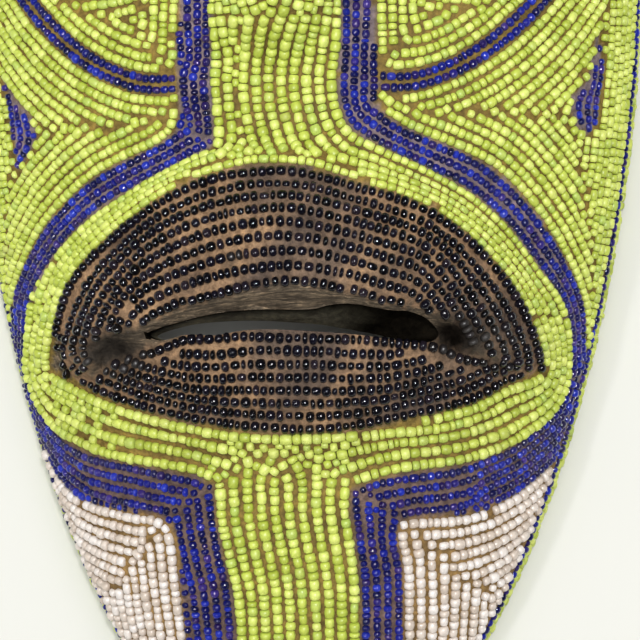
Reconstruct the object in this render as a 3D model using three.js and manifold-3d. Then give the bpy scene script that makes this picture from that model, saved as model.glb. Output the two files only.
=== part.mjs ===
// A hollow wooden face mask with raised lips, covered with skins of glass beads.
// Millimetres. It lies on its back rim at z = 0, the face looks up along +Z and the brow is at +Y.
import * as THREE from 'three';
import { mergeVertices } from 'three/addons/utils/BufferGeometryUtils.js';
import Module from 'manifold-3d';

const wasm = await Module();
wasm.setup();

// The wood: a domed oval, wider above than at the chin
const HALF_WIDTH = 89.5;
const BROW_LENGTH = 162;
const CHIN_LENGTH = 219;
const WIDEST_Y = 28;
const DOME_HEIGHT = 54;
const WALL = 7;
const ACROSS_POWER = 1.88;
const BROW_POWER = 2.2;
const CHIN_POWER = 1.75;
const CENTRE_X = -1.2;
const RIM_FLARE = 0.35;

// The beads: skins one bead thick, with a small gap under them and between them
const GAP = 0.3;
const BEAD = 2.4;
const ROW = 3.1;
const RIM_LOW = 1.2;
const RIM_ROWS = 2;
const RIM_LIME_TOP = RIM_LOW + RIM_ROWS * ROW;
const RIM_BLUE_TOP = RIM_LIME_TOP + ROW;

// Heights of the carved relief above the dome
const LIP_EDGE = 6;
const LIP_FRONT = 17;
const LIP_SLOPE = 7;
const LIP_TAPER = 9;
const SLIT_LIP = 8;
const LOWER_EDGE = 3;
const MOUTH_MIDDLE_Y = -72;
const NOSE_TIP = 17;
const NOSE_BRIDGE = 6;
const NOSE_BASE_Y = 10;
const NOSE_TOP_Y = 66;
const LID_HEIGHT = 4;
const BROW_HEIGHT = 4;

// Outlines on the front, as points of smooth curves (x, y)
const MOUTH = [
  [-61.5, -68.5], [-55, -52], [-39, -37.5], [-19.5, -27], [1.5, -24], [21.5, -29], [39, -36], [54, -50],
  [61.5, -64], [63.5, -74.5], [59.5, -76.5], [54.5, -78], [48.5, -81.5], [36.5, -85.5], [8.5, -90],
  [-21.5, -88], [-45.5, -81.5], [-58.5, -76], [-62.5, -74.5],
];
const UPPER_FRONT = [
  [-57, -77], [-51, -76], [-48.2, -71.5], [-46.8, -67.2], [-43.5, -65], [-38, -64.2], [-32.5, -62.8],
  [-23.5, -58.8], [-11, -55.6], [4, -53.2], [16.5, -55], [27.5, -58.2], [36, -59.3], [41.5, -61.5],
  [45.5, -66.5], [54, -72.2], [63, -75.7],
];
const LOWER_TOP = [
  [-56.5, -77.5], [-50, -76], [-44.5, -72.4], [-38.8, -70], [-28, -67], [-23.5, -65.4], [-16.5, -65.3],
  [-10, -64.3], [2.5, -64.2], [14.5, -64.8], [28, -66.1], [38.5, -67.4], [47.5, -70.2], [63, -76],
];
const SLIT = [
  [-33.8, -65.7], [-24.7, -62.4], [-14.6, -60.2], [-4.8, -59.4], [8.2, -59.3], [12.4, -58.3], [17.5, -58],
  [26.8, -59.5], [32.2, -60], [36.2, -61.9], [38.6, -65.5], [36.6, -67.4], [17, -65.4], [-3.7, -64.3],
  [-9.9, -64.7], [-16.3, -65.8], [-24, -65.7], [-30.6, -67.1],
];
// The slit's outline at its back edge: it slopes in from above and from the ends, between two heights
// that fall off towards the ends
const SLIT_BACK = [
  [-33, -66.2], [-24.5, -63.4], [-15.5, -62.4], [-6, -62.2], [3, -62.7], [8.5, -63.1], [13.5, -63.9],
  [18.5, -64.8], [22.5, -65.5], [25, -66.1], [27.5, -66.7], [25, -66.9], [13, -65.8], [-3, -64.9],
  [-10, -65.2], [-16.5, -66.2], [-24, -66.2], [-30, -67.2],
];
const SLIT_FRONT_Z = 52.5;
const SLIT_BACK_Z = 46;
const SLIT_BOW = 6.5;
const SLIT_BOW_START = 22;
const SLIT_BOW_END = 38;
const LEFT_BAND_OUTER = [
  [-25.5, -2.5], [-25.5, -11.5], [-26, -14], [-28, -16.5], [-42.5, -23], [-48.5, -26], [-61.5, -36.5],
  [-69.5, -47], [-75, -58], [-76.5, -66], [-84, -68],
];
const LEFT_BAND_INNER = [
  [-18, -1.5], [-17.5, -8], [-17, -18], [-18.5, -20], [-22.5, -22], [-36.5, -28.5], [-48.5, -34.6],
  [-61, -45.8], [-68.6, -56.7], [-71, -67.5], [-71.8, -77], [-63.5, -91], [-50.5, -97], [-35.5, -99.5],
  [-21.5, -102], [-18.5, -104.5], [-18, -111.5], [-16, -123.5], [-14.5, -131], [-13, -200],
];
const LEFT_JAW = [
  [-80, -86], [-69, -92.5], [-64, -101.5], [-60, -106], [-53.5, -109], [-40.5, -111.5], [-33.5, -112],
  [-30.5, -114], [-29, -117.5], [-28.5, -123.5], [-24, -200],
];
const RIGHT_BAND_OUTER = [
  [24, -3], [23.5, -8], [25, -11], [30.8, -14.6], [46.3, -21.2], [52.5, -24.8], [60, -32.2], [65, -38.7],
  [71, -49.5], [74, -57.5], [74.5, -63.5], [74.5, -70], [76, -73], [84, -74],
];
const RIGHT_BAND_INNER = [
  [14, -2], [14.5, -8], [16.5, -13.5], [19, -16], [36, -24.5], [46, -30], [54.8, -37.7], [62.7, -48.3],
  [69, -57.5], [70.9, -68], [69, -82], [58, -93], [44, -98.5], [28.5, -100.5], [18, -103.5], [16, -105.5],
  [16, -109], [17.5, -122.5], [18, -130.5], [15, -200],
];
const RIGHT_JAW = [
  [80, -88], [71, -94], [64.5, -100.5], [56, -107], [46, -111], [34.5, -112], [29, -112.5],
  [27.5, -114.5], [27.5, -119], [28.5, -124], [26, -200],
];
const LEFT_DART = [
  [-76.5, 2.5], [-74.7, -2.8], [-73.3, -7], [-72.8, -14.3], [-72, -19], [-71, -22.4], [-69, -20.4],
  [-65.6, -16.6], [-65.1, -14], [-66.2, -11], [-71, -5.5],
];
const RIGHT_DART = [
  [75.6, -0.6], [71.5, -5.7], [71.1, -8], [72, -11.5], [75.5, -14.4], [76.8, -13.6], [77.6, -9],
  [77.8, -5.2], [79, 0], [79, 6], [78, 12],
];

// The hidden upper half, drawn for one side and mirrored about the centre line
const NOSE_SIDE = [[20.3, -4], [19.6, 20], [16, 42], [15, 66]];
const BROW = [[-4, 63], [14, 65], [30, 72], [48, 74], [66, 68], [82, 57], [98, 46]];
const STROKE_WIDTH = 8.6;
const EYE_CENTRE = [48, 34];
const EYE_HALF = [14, 3.2];
const LID_HALF = [20, 10];

const COLOURS = {
  wood: { color: 0x7a5c40, roughness: 0.8, metalness: 0 },
  lime: { color: 0xb9cf46, roughness: 0.3, metalness: 0 },
  blue: { color: 0x1c2a96, roughness: 0.2, metalness: 0 },
  black: { color: 0x0d0d10, roughness: 0.15, metalness: 0 },
  white: { color: 0xf0e4da, roughness: 0.35, metalness: 0 },
};

const { lerp, smoothstep } = THREE.MathUtils;

// Curves and distances on the plan

// Straight pieces for each given point of a curve
const CURVE_STEPS = 1.1;

function smooth(points, closed) {
  const line = points.map(([x, y]) => new THREE.Vector3(x, y, 0));
  const curve = new THREE.CatmullRomCurve3(line, closed, 'centripetal');
  const steps = Math.round(points.length * CURVE_STEPS);
  const out = curve.getPoints(steps).map((p) => [p.x, p.y]);
  return closed ? out.slice(0, -1) : out;
}

const mirror = (points) => points.map(([x, y]) => [CENTRE_X - x, y]);
const mirrorRight = (points) => points.map(([x, y]) => [CENTRE_X + x, y]);

function distanceTo(line, x, y, closed) {
  let best = Infinity;
  const count = closed ? line.length : line.length - 1;
  for (let i = 0; i < count; i += 1) {
    const [ax, ay] = line[i];
    const [bx, by] = line[(i + 1) % line.length];
    const [dx, dy] = [bx - ax, by - ay];
    const along = THREE.MathUtils.clamp(((x - ax) * dx + (y - ay) * dy) / (dx * dx + dy * dy), 0, 1);
    best = Math.min(best, Math.hypot(x - ax - along * dx, y - ay - along * dy));
  }
  return best;
}

function isInside(line, x, y) {
  let inside = false;
  line.forEach(([ax, ay], i) => {
    const [bx, by] = line[(i + 1) % line.length];
    if (ay > y !== by > y && x < ((bx - ax) * (y - ay)) / (by - ay) + ax) inside = !inside;
  });
  return inside;
}

function heightAt(line, x) {
  const next = line.findIndex(([px]) => px > x);
  if (next < 0) return line[line.length - 1][1];
  if (next === 0) return line[0][1];
  const [ax, ay] = line[next - 1];
  const [bx, by] = line[next];
  return ay + ((by - ay) * (x - ax)) / (bx - ax);
}

// The carved surface

const mouthLine = smooth(MOUTH, true);
const frontLine = smooth(UPPER_FRONT, false);
const lowerLine = smooth(LOWER_TOP, false);
const slitLine = smooth(SLIT, true);
const slitBackLine = smooth(SLIT_BACK, true);
const browLines = [smooth(mirror(BROW), false), smooth(mirrorRight(BROW), false)];

function lipRelief(x, y) {
  const edge = distanceTo(mouthLine, x, y, true) * (isInside(mouthLine, x, y) ? 1 : -1);
  if (edge < -LIP_SLOPE) return 0;
  const fullness = 1 - 0.5 * Math.min(1, Math.abs(x / 62)) ** 3;
  const front = y - heightAt(frontLine, x);
  const upper = smoothstep(y, MOUTH_MIDDLE_Y - 4, MOUTH_MIDDLE_Y + 4);
  const low = lerp(LOWER_EDGE, LIP_EDGE, upper) * smoothstep(edge, -LIP_SLOPE, 0);
  if (edge < 0) return fullness * low;
  const inward = smoothstep(edge, 0, LIP_TAPER);
  const peak = lerp(low, LIP_FRONT, inward);
  const hem = lerp(low, SLIT_LIP, inward);
  if (front > 0) {
    const along = edge / (edge + front);
    return fullness * (low + (peak - low) * Math.sin((along * Math.PI) / 2));
  }
  const below = heightAt(lowerLine, x) - y;
  if (below < 0) return fullness * lerp(peak, hem, Math.min(1, -front / 5));
  const out = edge / (edge + below);
  return fullness * (low + (hem - low) * Math.sin((out * Math.PI) / 2));
}

function noseRelief(x, y) {
  const up = (y - NOSE_BASE_Y) / (NOSE_TOP_Y - NOSE_BASE_Y);
  if (up < -0.2 || up > 1.15) return 0;
  const width = lerp(19, 9, THREE.MathUtils.clamp(up, 0, 1));
  const across = Math.min(1, Math.abs(x - CENTRE_X) / width);
  const height = lerp(NOSE_TIP, NOSE_BRIDGE, Math.max(0, up));
  const base = smoothstep(up, -0.2, 0.2);
  const top = 1 - smoothstep(up, 0.85, 1.15);
  return height * base * top * Math.cos((across * Math.PI) / 2) ** 1.5;
}

function lidRelief(x, y) {
  const dx = (Math.abs(x - CENTRE_X) - EYE_CENTRE[0]) / (LID_HALF[0] + 4);
  const dy = (y - EYE_CENTRE[1]) / (LID_HALF[1] + 4);
  return LID_HEIGHT * (1 - smoothstep(Math.hypot(dx, dy), 0.55, 1));
}

function browRelief(x, y) {
  const line = x < CENTRE_X ? browLines[0] : browLines[1];
  return BROW_HEIGHT * (1 - smoothstep(distanceTo(line, x, y, false), 1, 10));
}

function relief(x, y, r) {
  const fade = 1 - smoothstep(r, 0.75, 0.93);
  return fade * (lipRelief(x, y) + noseRelief(x, y) + lidRelief(x, y) + browRelief(x, y));
}

// A point of the dome, shrunk by inset, at a height given as a share of the whole: z = height * cos(fall)
function domePoint(turn, fall, inset) {
  const [cx, cy] = [Math.cos(turn), Math.sin(turn)];
  const length = (cy > 0 ? BROW_LENGTH : CHIN_LENGTH) - inset;
  const power = cy > 0 ? BROW_POWER : CHIN_POWER;
  const spent = Math.sin(fall) ** 2;
  let reach = Math.sin(fall);
  for (let i = 0; i < 20 && spent > 0; i += 1) {
    const total = Math.abs(reach * cx) ** ACROSS_POWER + Math.abs(reach * cy) ** power;
    reach *= (spent / total) ** 0.55;
  }
  const x = (HALF_WIDTH - inset) * reach * cx;
  const y = WIDEST_Y + length * reach * cy;
  return new THREE.Vector3(x, y, (DOME_HEIGHT - inset) * Math.cos(fall));
}

// Where a point of the square -1..1 by -1..1 lies in the unit disc, as its turn and its radius
function discPoint(a, b) {
  const dx = a * Math.sqrt(1 - (b * b) / 2);
  const dy = b * Math.sqrt(1 - (a * a) / 2);
  return [Math.atan2(dy, dx), Math.min(1, Math.hypot(dx, dy))];
}

// The face above the rim rows, with its relief; the square's edge is the top of the rim rows
function surfacePoint(a, b, inset = 0) {
  const [turn, r] = discPoint(a, b);
  const point = domePoint(turn, r * Math.acos(RIM_BLUE_TOP / DOME_HEIGHT), inset);
  point.z += (inset > 0 ? 0.5 : 1) * relief(point.x, point.y, r);
  return point;
}

// A point of the wall below the dome, which flares out less than the dome would
function wallPoint(turn, height, inset = 0) {
  const level = lerp(RIM_BLUE_TOP, height, RIM_FLARE);
  return domePoint(turn, Math.acos(level / (DOME_HEIGHT - inset)), inset).setZ(height);
}

// The normal of the wall by the rim, square to the outline and to the slope of the dome
function wallNormal(turn, height) {
  const across = wallPoint(turn + 0.01, height).sub(wallPoint(turn - 0.01, height));
  const up = wallPoint(turn, height + 0.1).sub(wallPoint(turn, height));
  return across.cross(up).normalize();
}

function surfaceNormal(a, b) {
  if (Math.max(Math.abs(a), Math.abs(b)) > 0.999) return wallNormal(discPoint(a, b)[0], RIM_BLUE_TOP);
  const step = 0.004;
  const across = surfacePoint(a + step, b).sub(surfacePoint(a - step, b));
  const along = surfacePoint(a, b + step).sub(surfacePoint(a, b - step));
  return across.cross(along).normalize();
}

// Solids

function toManifold(geometry) {
  const plain = geometry.index ? geometry.toNonIndexed() : geometry.clone();
  plain.deleteAttribute('normal');
  plain.deleteAttribute('uv');
  const merged = mergeVertices(plain, 1e-4);
  return new wasm.Manifold(
    new wasm.Mesh({
      numProp: 3,
      vertProperties: new Float32Array(merged.attributes.position.array),
      triVerts: new Uint32Array(merged.index.array),
    }),
  );
}

function fromTriangles(points, faces) {
  const geometry = new THREE.BufferGeometry();
  const values = points.flatMap((p) => [p.x, p.y, p.z]);
  geometry.setAttribute('position', new THREE.Float32BufferAttribute(values, 3));
  geometry.setIndex(faces.flat());
  return toManifold(geometry);
}

// Grid lines of the square, closer together where the lips, nose and eyes are
function gridLines(count, crowd) {
  const weights = Array.from({ length: 400 }, (_, i) => crowd(-1 + (i + 0.5) / 200));
  const total = weights.reduce((sum, w) => sum + w, 0);
  const lines = [-1];
  let sum = 0;
  weights.forEach((w, i) => {
    sum += w;
    if (lines.length < count && sum >= (total * lines.length) / count) lines.push(-1 + (i + 1) / 200);
  });
  lines.push(1);
  return lines;
}

const bump = (t, centre, width) => Math.exp(-(((t - centre) / width) ** 2));
const ACROSS_LINES = gridLines(16, (a) => 1 + 0.3 * bump(a, 0, 0.5));
const ALONG_LINES = gridLines(24, (b) => 1 + 3.8 * bump(b, -0.3, 0.13) + 0.9 * bump(b, 0.07, 0.15));
const ACROSS_COARSE = ACROSS_LINES.filter((_, i) => i % 2 === 0);
const ALONG_COARSE = ALONG_LINES.filter((_, i) => i % 2 === 0);

// Triangles of a grid of columns by rows, each cell split along its shorter way
function gridFaces(points, columns, rows, start, flipped) {
  const faces = [];
  for (let i = 0; i < columns - 1; i += 1) {
    for (let j = 0; j < rows - 1; j += 1) {
      const corner = start + i * rows + j;
      const [p, q, r, s] = [corner, corner + rows, corner + rows + 1, corner + 1];
      const shorter = points[p].distanceTo(points[r]) < points[q].distanceTo(points[s]);
      const pair = shorter ? [[p, q, r], [p, r, s]] : [[p, q, s], [q, r, s]];
      pair.forEach(([x, y, z]) => faces.push(flipped ? [x, z, y] : [x, y, z]));
    }
  }
  return faces;
}

function rimIndices(columns, rows) {
  const ring = [];
  for (let i = 0; i < columns - 1; i += 1) ring.push(i * rows);
  for (let j = 0; j < rows - 1; j += 1) ring.push((columns - 1) * rows + j);
  for (let i = columns - 1; i > 0; i -= 1) ring.push(i * rows + rows - 1);
  for (let j = rows - 1; j > 0; j -= 1) ring.push(j);
  return ring;
}

// The turns of the grid's lines where they meet the rim rows
function rimTurns(across, along) {
  const ring = rimIndices(across.length, along.length);
  return ring.map((at) => discPoint(across[Math.floor(at / along.length)], along[at % along.length])[0]);
}

// The dome, closed by a wall down to the rim and by a flat floor at the given height
function domeSolid(across, along, inset, floor) {
  const points = across.flatMap((a) => along.map((b) => surfacePoint(a, b, inset)));
  const faces = gridFaces(points, across.length, along.length, 0, false);
  const turns = rimTurns(across, along);
  let upper = rimIndices(across.length, along.length);
  const levels = floor < 0 ? [0, floor] : [floor];
  levels.forEach((height) => {
    const start = points.length;
    turns.forEach((turn) => points.push(wallPoint(turn, Math.max(0, height), inset).setZ(height)));
    const lower = turns.map((_, i) => start + i);
    upper.forEach((at, i) => {
      const after = (i + 1) % upper.length;
      faces.push([upper[after], at, lower[i]], [upper[after], lower[i], lower[after]]);
    });
    upper = lower;
  });
  points.push(new THREE.Vector3(0, 0, floor));
  upper.forEach((at, i) => faces.push([points.length - 1, upper[(i + 1) % upper.length], at]));
  return fromTriangles(points, faces);
}

// A closed ring round the wall, between two heights
function rimRing(low, high) {
  const points = [];
  const faces = [];
  const turns = rimTurns(ACROSS_LINES, ALONG_LINES);
  turns.forEach((turn, i) => {
    const start = 4 * i;
    const after = 4 * ((i + 1) % turns.length);
    [[low, GAP], [low, GAP + BEAD], [high, GAP + BEAD], [high, GAP]].forEach(([height, lift], k) => {
      points.push(wallPoint(turn, height).addScaledVector(wallNormal(turn, height), lift));
      const next = (k + 1) % 4;
      faces.push([start + k, after + k, after + next], [start + k, after + next, start + next]);
    });
  });
  return fromTriangles(points, faces);
}

// The skin that lies between two heights above the wood
function skinSolid(low, high) {
  const corners = ACROSS_LINES.flatMap((a) => ALONG_LINES.map((b) => [a, b]));
  const raised = (a, b, lift) => surfacePoint(a, b).addScaledVector(surfaceNormal(a, b), lift);
  const layer = (lift) => corners.map(([a, b]) => raised(a, b, lift));
  const points = [...layer(low), ...layer(high)];
  const [columns, rows] = [ACROSS_LINES.length, ALONG_LINES.length];
  const faces = [
    ...gridFaces(points, columns, rows, 0, true),
    ...gridFaces(points, columns, rows, columns * rows, false),
  ];
  const ring = rimIndices(columns, rows);
  ring.forEach((at, i) => {
    const after = ring[(i + 1) % ring.length];
    faces.push([at, after, after + columns * rows], [at, after + columns * rows, at + columns * rows]);
  });
  return fromTriangles(points, faces);
}

// An upright prism on a closed outline that is grown outwards, or shrunk where grow is negative
function prism(outline, grow = 0, low = -20, high = 120) {
  const area = THREE.ShapeUtils.area(outline.map(([x, y]) => new THREE.Vector2(x, y)));
  const turn = area > 0 ? 1 : -1;
  const square = (from, to) => new THREE.Vector2(to[1] - from[1], from[0] - to[0]);
  const outward = (from, to) => square(from, to).normalize().multiplyScalar(turn);
  const grown = outline.map(([x, y], i) => {
    const before = outward(outline[(i + outline.length - 1) % outline.length], [x, y]);
    const after = outward([x, y], outline[(i + 1) % outline.length]);
    const push = grow / Math.max(0.3, 1 + before.dot(after));
    return new THREE.Vector2(x, y).addScaledVector(before.add(after), push);
  });
  const options = { depth: high - low, bevelEnabled: false };
  const geometry = new THREE.ExtrudeGeometry(new THREE.Shape(grown), options);
  geometry.translate(0, 0, low);
  return toManifold(geometry);
}

// A closed solid through outlines of as many points at rising heights
function loft(levels) {
  const count = levels[0].length;
  const rings = levels.map((level) => level.map((place) => new THREE.Vector3(...place)));
  if (THREE.ShapeUtils.area(rings[0]) < 0) rings.forEach((ring) => ring.reverse());
  const faces = [];
  for (let level = 0; level < rings.length - 1; level += 1) {
    for (let i = 0; i < count; i += 1) {
      const [at, after] = [level * count + i, level * count + ((i + 1) % count)];
      faces.push([at, after, after + count], [at, after + count, at + count]);
    }
  }
  const last = (rings.length - 1) * count;
  THREE.ShapeUtils.triangulateShape(rings[0], []).forEach(([x, y, z]) => faces.push([z, y, x]));
  THREE.ShapeUtils.triangulateShape(rings[rings.length - 1], [])
    .forEach((face) => faces.push(face.map((at) => last + at)));
  return fromTriangles(rings.flat(), faces);
}

// The outline of a stroke of one width along a smooth line
function strokeOutline(points, width) {
  const line = smooth(points, false).map(([x, y]) => new THREE.Vector2(x, y));
  const sides = [[], []];
  line.forEach((at, i) => {
    const before = line[Math.max(0, i - 1)];
    const after = line[Math.min(line.length - 1, i + 1)];
    const along = after.clone().sub(before).normalize();
    sides[0].push([at.x - (along.y * width) / 2, at.y + (along.x * width) / 2]);
    sides[1].unshift([at.x + (along.y * width) / 2, at.y - (along.x * width) / 2]);
  });
  return [...sides[0], ...sides[1]];
}

function ellipseOutline(centre, half, count, power = 1) {
  return Array.from({ length: count }, (_, i) => {
    const turn = (i / count) * Math.PI * 2;
    const rise = Math.sign(Math.sin(turn)) * Math.abs(Math.sin(turn)) ** power;
    return [centre[0] + half[0] * Math.cos(turn), centre[1] + half[1] * rise];
  });
}

// The colour fields, each grown or shrunk by half the gap

const eyes = [-1, 1].map((side) => [CENTRE_X + side * EYE_CENTRE[0], EYE_CENTRE[1]]);
const level = (outline, height) => outline.map(([x, y]) => [x, y, height]);
const bowed = (outline, height) => outline
  .map(([x, y]) => [x, y, height - SLIT_BOW * smoothstep(Math.abs(x), SLIT_BOW_START, SLIT_BOW_END)]);
const mouthSlit = () => loft([
  level(slitBackLine, -20),
  bowed(slitBackLine, SLIT_BACK_Z),
  bowed(slitLine, SLIT_FRONT_Z),
  level(slitLine, 120),
]);
const eyeSlit = (eye, grow) => prism(ellipseOutline(eye, EYE_HALF, 12, 1.3), grow);
const lidPrism = (eye, grow) => prism(ellipseOutline(eye, LID_HALF, 14, 1.2), grow);

function bluePrism(outer, inner, jaw, side, grow) {
  const place = side < 0 ? mirror : mirrorRight;
  const band = [...smooth(outer, false), ...smooth(jaw, false), ...smooth(inner, false).reverse()];
  const half = place([[-grow, -250], [150, -250], [150, 250], [-grow, 250]]);
  return [
    prism(strokeOutline(place(NOSE_SIDE), STROKE_WIDTH + 2 * grow)),
    prism(strokeOutline(place(BROW), STROKE_WIDTH + 2 * grow)),
  ].reduce((sum, next) => sum.add(next), prism(band, grow)).intersect(prism(half));
}

const bluePrisms = (grow) => [
  bluePrism(LEFT_BAND_OUTER, LEFT_BAND_INNER, LEFT_JAW, -1, grow),
  bluePrism(RIGHT_BAND_OUTER, RIGHT_BAND_INNER, RIGHT_JAW, 1, grow),
];
const dartPrisms = (grow) => [prism(smooth(LEFT_DART, true), grow), prism(smooth(RIGHT_DART, true), grow)];
const jawOutline = (jaw, x) => [...smooth(jaw, false), [x, -230], [x, jaw[0][1]]];
const jawPrisms = (grow) => [
  prism(jawOutline(LEFT_JAW, -120), grow),
  prism(jawOutline(RIGHT_JAW, 120), grow),
];

// A node of the scene: one solid in its own colour
function node(name, solid, colour) {
  const mesh = solid.getMesh();
  const geometry = new THREE.BufferGeometry();
  geometry.setAttribute('position', new THREE.Float32BufferAttribute(mesh.vertProperties, 3));
  geometry.setIndex(Array.from(mesh.triVerts));
  geometry.computeVertexNormals();
  const part = new THREE.Mesh(geometry, new THREE.MeshStandardMaterial(COLOURS[colour]));
  part.name = name;
  return part;
}

function largest(solid) {
  return solid.decompose().sort((one, two) => two.volume() - one.volume())[0];
}

function buildMask() {
  const group = new THREE.Group();
  const add = (name, solid, colour) => group.add(node(name, solid, colour));

  const carved = domeSolid(ACROSS_LINES, ALONG_LINES, 0, 0);
  const hollow = domeSolid(ACROSS_COARSE, ALONG_COARSE, WALL, -5);
  const slits = eyes.reduce((sum, eye) => sum.add(eyeSlit(eye, 0)), mouthSlit());
  add('wooden_mask', carved.subtract(hollow).subtract(slits), 'wood');

  add('lime_beads_rim', rimRing(RIM_LOW, RIM_LIME_TOP - GAP), 'lime');
  add('blue_beads_rim', rimRing(RIM_LIME_TOP, RIM_BLUE_TOP - GAP), 'blue');

  const field = skinSolid(GAP, GAP + BEAD);
  const half = GAP / 2;
  const mouth = prism(mouthLine, -half);
  const above = prism([...frontLine, [80, 0], [-80, 0]], -half);
  const below = prism([...lowerLine, [80, -120], [-80, -120]], -half);
  add('black_beads_upper_lip', largest(field.intersect(mouth).intersect(above)), 'black');
  add('black_beads_lower_lip', largest(field.intersect(mouth).intersect(below)), 'black');

  const names = ['left', 'right'];
  const blueIn = bluePrisms(-half);
  const blueOut = bluePrisms(half);
  const dartsOut = dartPrisms(half);
  const cut = (sum, next) => sum.subtract(next);
  names.forEach((name, i) => {
    const lid = field.intersect(lidPrism(eyes[i], -half)).subtract(eyeSlit(eyes[i], 0.8));
    add(`black_beads_${name}_eye`, lid, 'black');
    add(`blue_beads_${name}`, largest(field.intersect(blueIn[i])), 'blue');
    add(`blue_beads_${name}_dart`, largest(field.intersect(dartPrisms(-half)[i])), 'blue');
    const jaw = blueOut.reduce(cut, field.intersect(jawPrisms(-half)[i]));
    add(`white_beads_${name}_jaw`, largest(jaw), 'white');
  });

  const others = [...blueOut, ...dartsOut, ...jawPrisms(half), prism(mouthLine, half)];
  const lids = eyes.map((eye) => lidPrism(eye, half));
  const lime = [...others, ...lids].reduce(cut, field);
  const fields = {
    lime_beads_face: [0, -10],
    lime_beads_left_cheek: [-75, 15],
    lime_beads_right_cheek: [75, 25],
    lime_beads_forehead: [0, 110],
  };
  const pieces = lime.decompose().filter((piece) => piece.volume() > 60);
  Object.entries(fields).forEach(([name, [x, y]]) => {
    const probe = prism([[x - 3, y - 3], [x + 3, y - 3], [x + 3, y + 3], [x - 3, y + 3]]);
    const found = pieces.filter((piece) => piece.intersect(probe).volume() > 0);
    if (found.length !== 1) throw new Error(`${name}: ${found.length} of ${pieces.length} pieces`);
    add(name, found[0], 'lime');
  });
  return group;
}

export default buildMask();
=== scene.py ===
"""A wooden face mask, hollow behind and covered with rows of small glass beads, lying face up."""

import itertools
import math
from collections import namedtuple

import bpy
import numpy as np
from mathutils import Matrix, Vector
from mathutils.kdtree import KDTree


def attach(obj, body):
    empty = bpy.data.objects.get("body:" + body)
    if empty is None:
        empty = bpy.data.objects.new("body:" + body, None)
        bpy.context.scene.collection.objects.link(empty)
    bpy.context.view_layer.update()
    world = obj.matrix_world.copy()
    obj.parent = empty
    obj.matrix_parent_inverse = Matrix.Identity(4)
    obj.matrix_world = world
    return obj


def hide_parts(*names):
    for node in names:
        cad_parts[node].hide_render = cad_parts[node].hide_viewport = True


# Millimetres until a mesh is made. The dome of the wood
HALF_WIDTH = 89.5
BROW_LENGTH = 162.0
CHIN_LENGTH = 219.0
WIDEST_Y = 28.0
DOME_HEIGHT = 54.0
WALL = 7.0
ACROSS_POWER = 1.88
BROW_POWER = 2.2
CHIN_POWER = 1.75
CENTRE_X = -1.2
RIM_TOP = 10.5
RIM_FLARE = 0.35
RIM_FALL = math.acos(RIM_TOP / DOME_HEIGHT)

# The carved relief above the dome
LIP_EDGE = 6.0
LIP_FRONT = 17.0
LIP_SLOPE = 7.0
SLIT_LIP = 8.0
LOWER_EDGE = 3.0
LIP_TAPER = 9.0
LIP_OVERHANG = 5
MOUTH_HALF = 62
# Where the low edge of the lower lip turns into the high edge of the upper one
LIP_CHANGE = (-76, -68)
NOSE_TIP = 17.0
NOSE_BRIDGE = 6.0
NOSE_BASE_Y = 10.0
NOSE_TOP_Y = 66.0
NOSE_HALF = (19, 9)
LID_HEIGHT = 4.0
LID_MARGIN = 4
BROW_HEIGHT = 4.0
BROW_SLOPE = (1, 10)
STROKE_HALF = 4.3
# From where to where on the way from the middle to the rim the relief dies away
RELIEF_END = (0.75, 0.93)

# Outlines on the front (x, y), each a smooth curve through its points
MOUTH = [
    (-61.5, -68.5), (-55, -52), (-39, -37.5), (-19.5, -27), (1.5, -24), (21.5, -29), (39, -36), (54, -50),
    (61.5, -64), (63.5, -74.5), (59.5, -76.5), (54.5, -78), (48.5, -81.5), (36.5, -85.5), (8.5, -90),
    (-21.5, -88), (-45.5, -81.5), (-58.5, -76), (-62.5, -74.5),
]
UPPER_FRONT = [
    (-57, -77), (-51, -76), (-48.2, -71.5), (-46.8, -67.2), (-43.5, -65), (-38, -64.2), (-32.5, -62.8),
    (-23.5, -58.8), (-11, -55.6), (4, -53.2), (16.5, -55), (27.5, -58.2), (36, -59.3), (41.5, -61.5),
    (45.5, -66.5), (54, -72.2), (63, -75.7),
]
LOWER_TOP = [
    (-56.5, -77.5), (-50, -76), (-44.5, -72.4), (-38.8, -70), (-28, -67), (-23.5, -65.4), (-16.5, -65.3),
    (-10, -64.3), (2.5, -64.2), (14.5, -64.8), (28, -66.1), (38.5, -67.4), (47.5, -70.2), (63, -76),
]
SLIT = [
    (-33.8, -65.7), (-24.7, -62.4), (-14.6, -60.2), (-4.8, -59.4), (8.2, -59.3), (12.4, -58.3), (17.5, -58),
    (26.8, -59.5), (32.2, -60), (36.2, -61.9), (38.6, -65.5), (36.6, -67.4), (17, -65.4), (-3.7, -64.3),
    (-9.9, -64.7), (-16.3, -65.8), (-24, -65.7), (-30.6, -67.1),
]
# The slit's outline at its back edge, for a cut that slopes in from above and from the ends
SLIT_BACK = [
    (-33, -66.2), (-24.5, -63.4), (-15.5, -62.4), (-6, -62.2), (3, -62.7), (8.5, -63.1), (13.5, -63.9),
    (18.5, -64.8), (22.5, -65.5), (25, -66.1), (27.5, -66.7), (25, -66.9), (13, -65.8), (-3, -64.9),
    (-10, -65.2), (-16.5, -66.2), (-24, -66.2), (-30, -67.2),
]
SLIT_FRONT_Z = 52.5
SLIT_BACK_Z = 46.0
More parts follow.
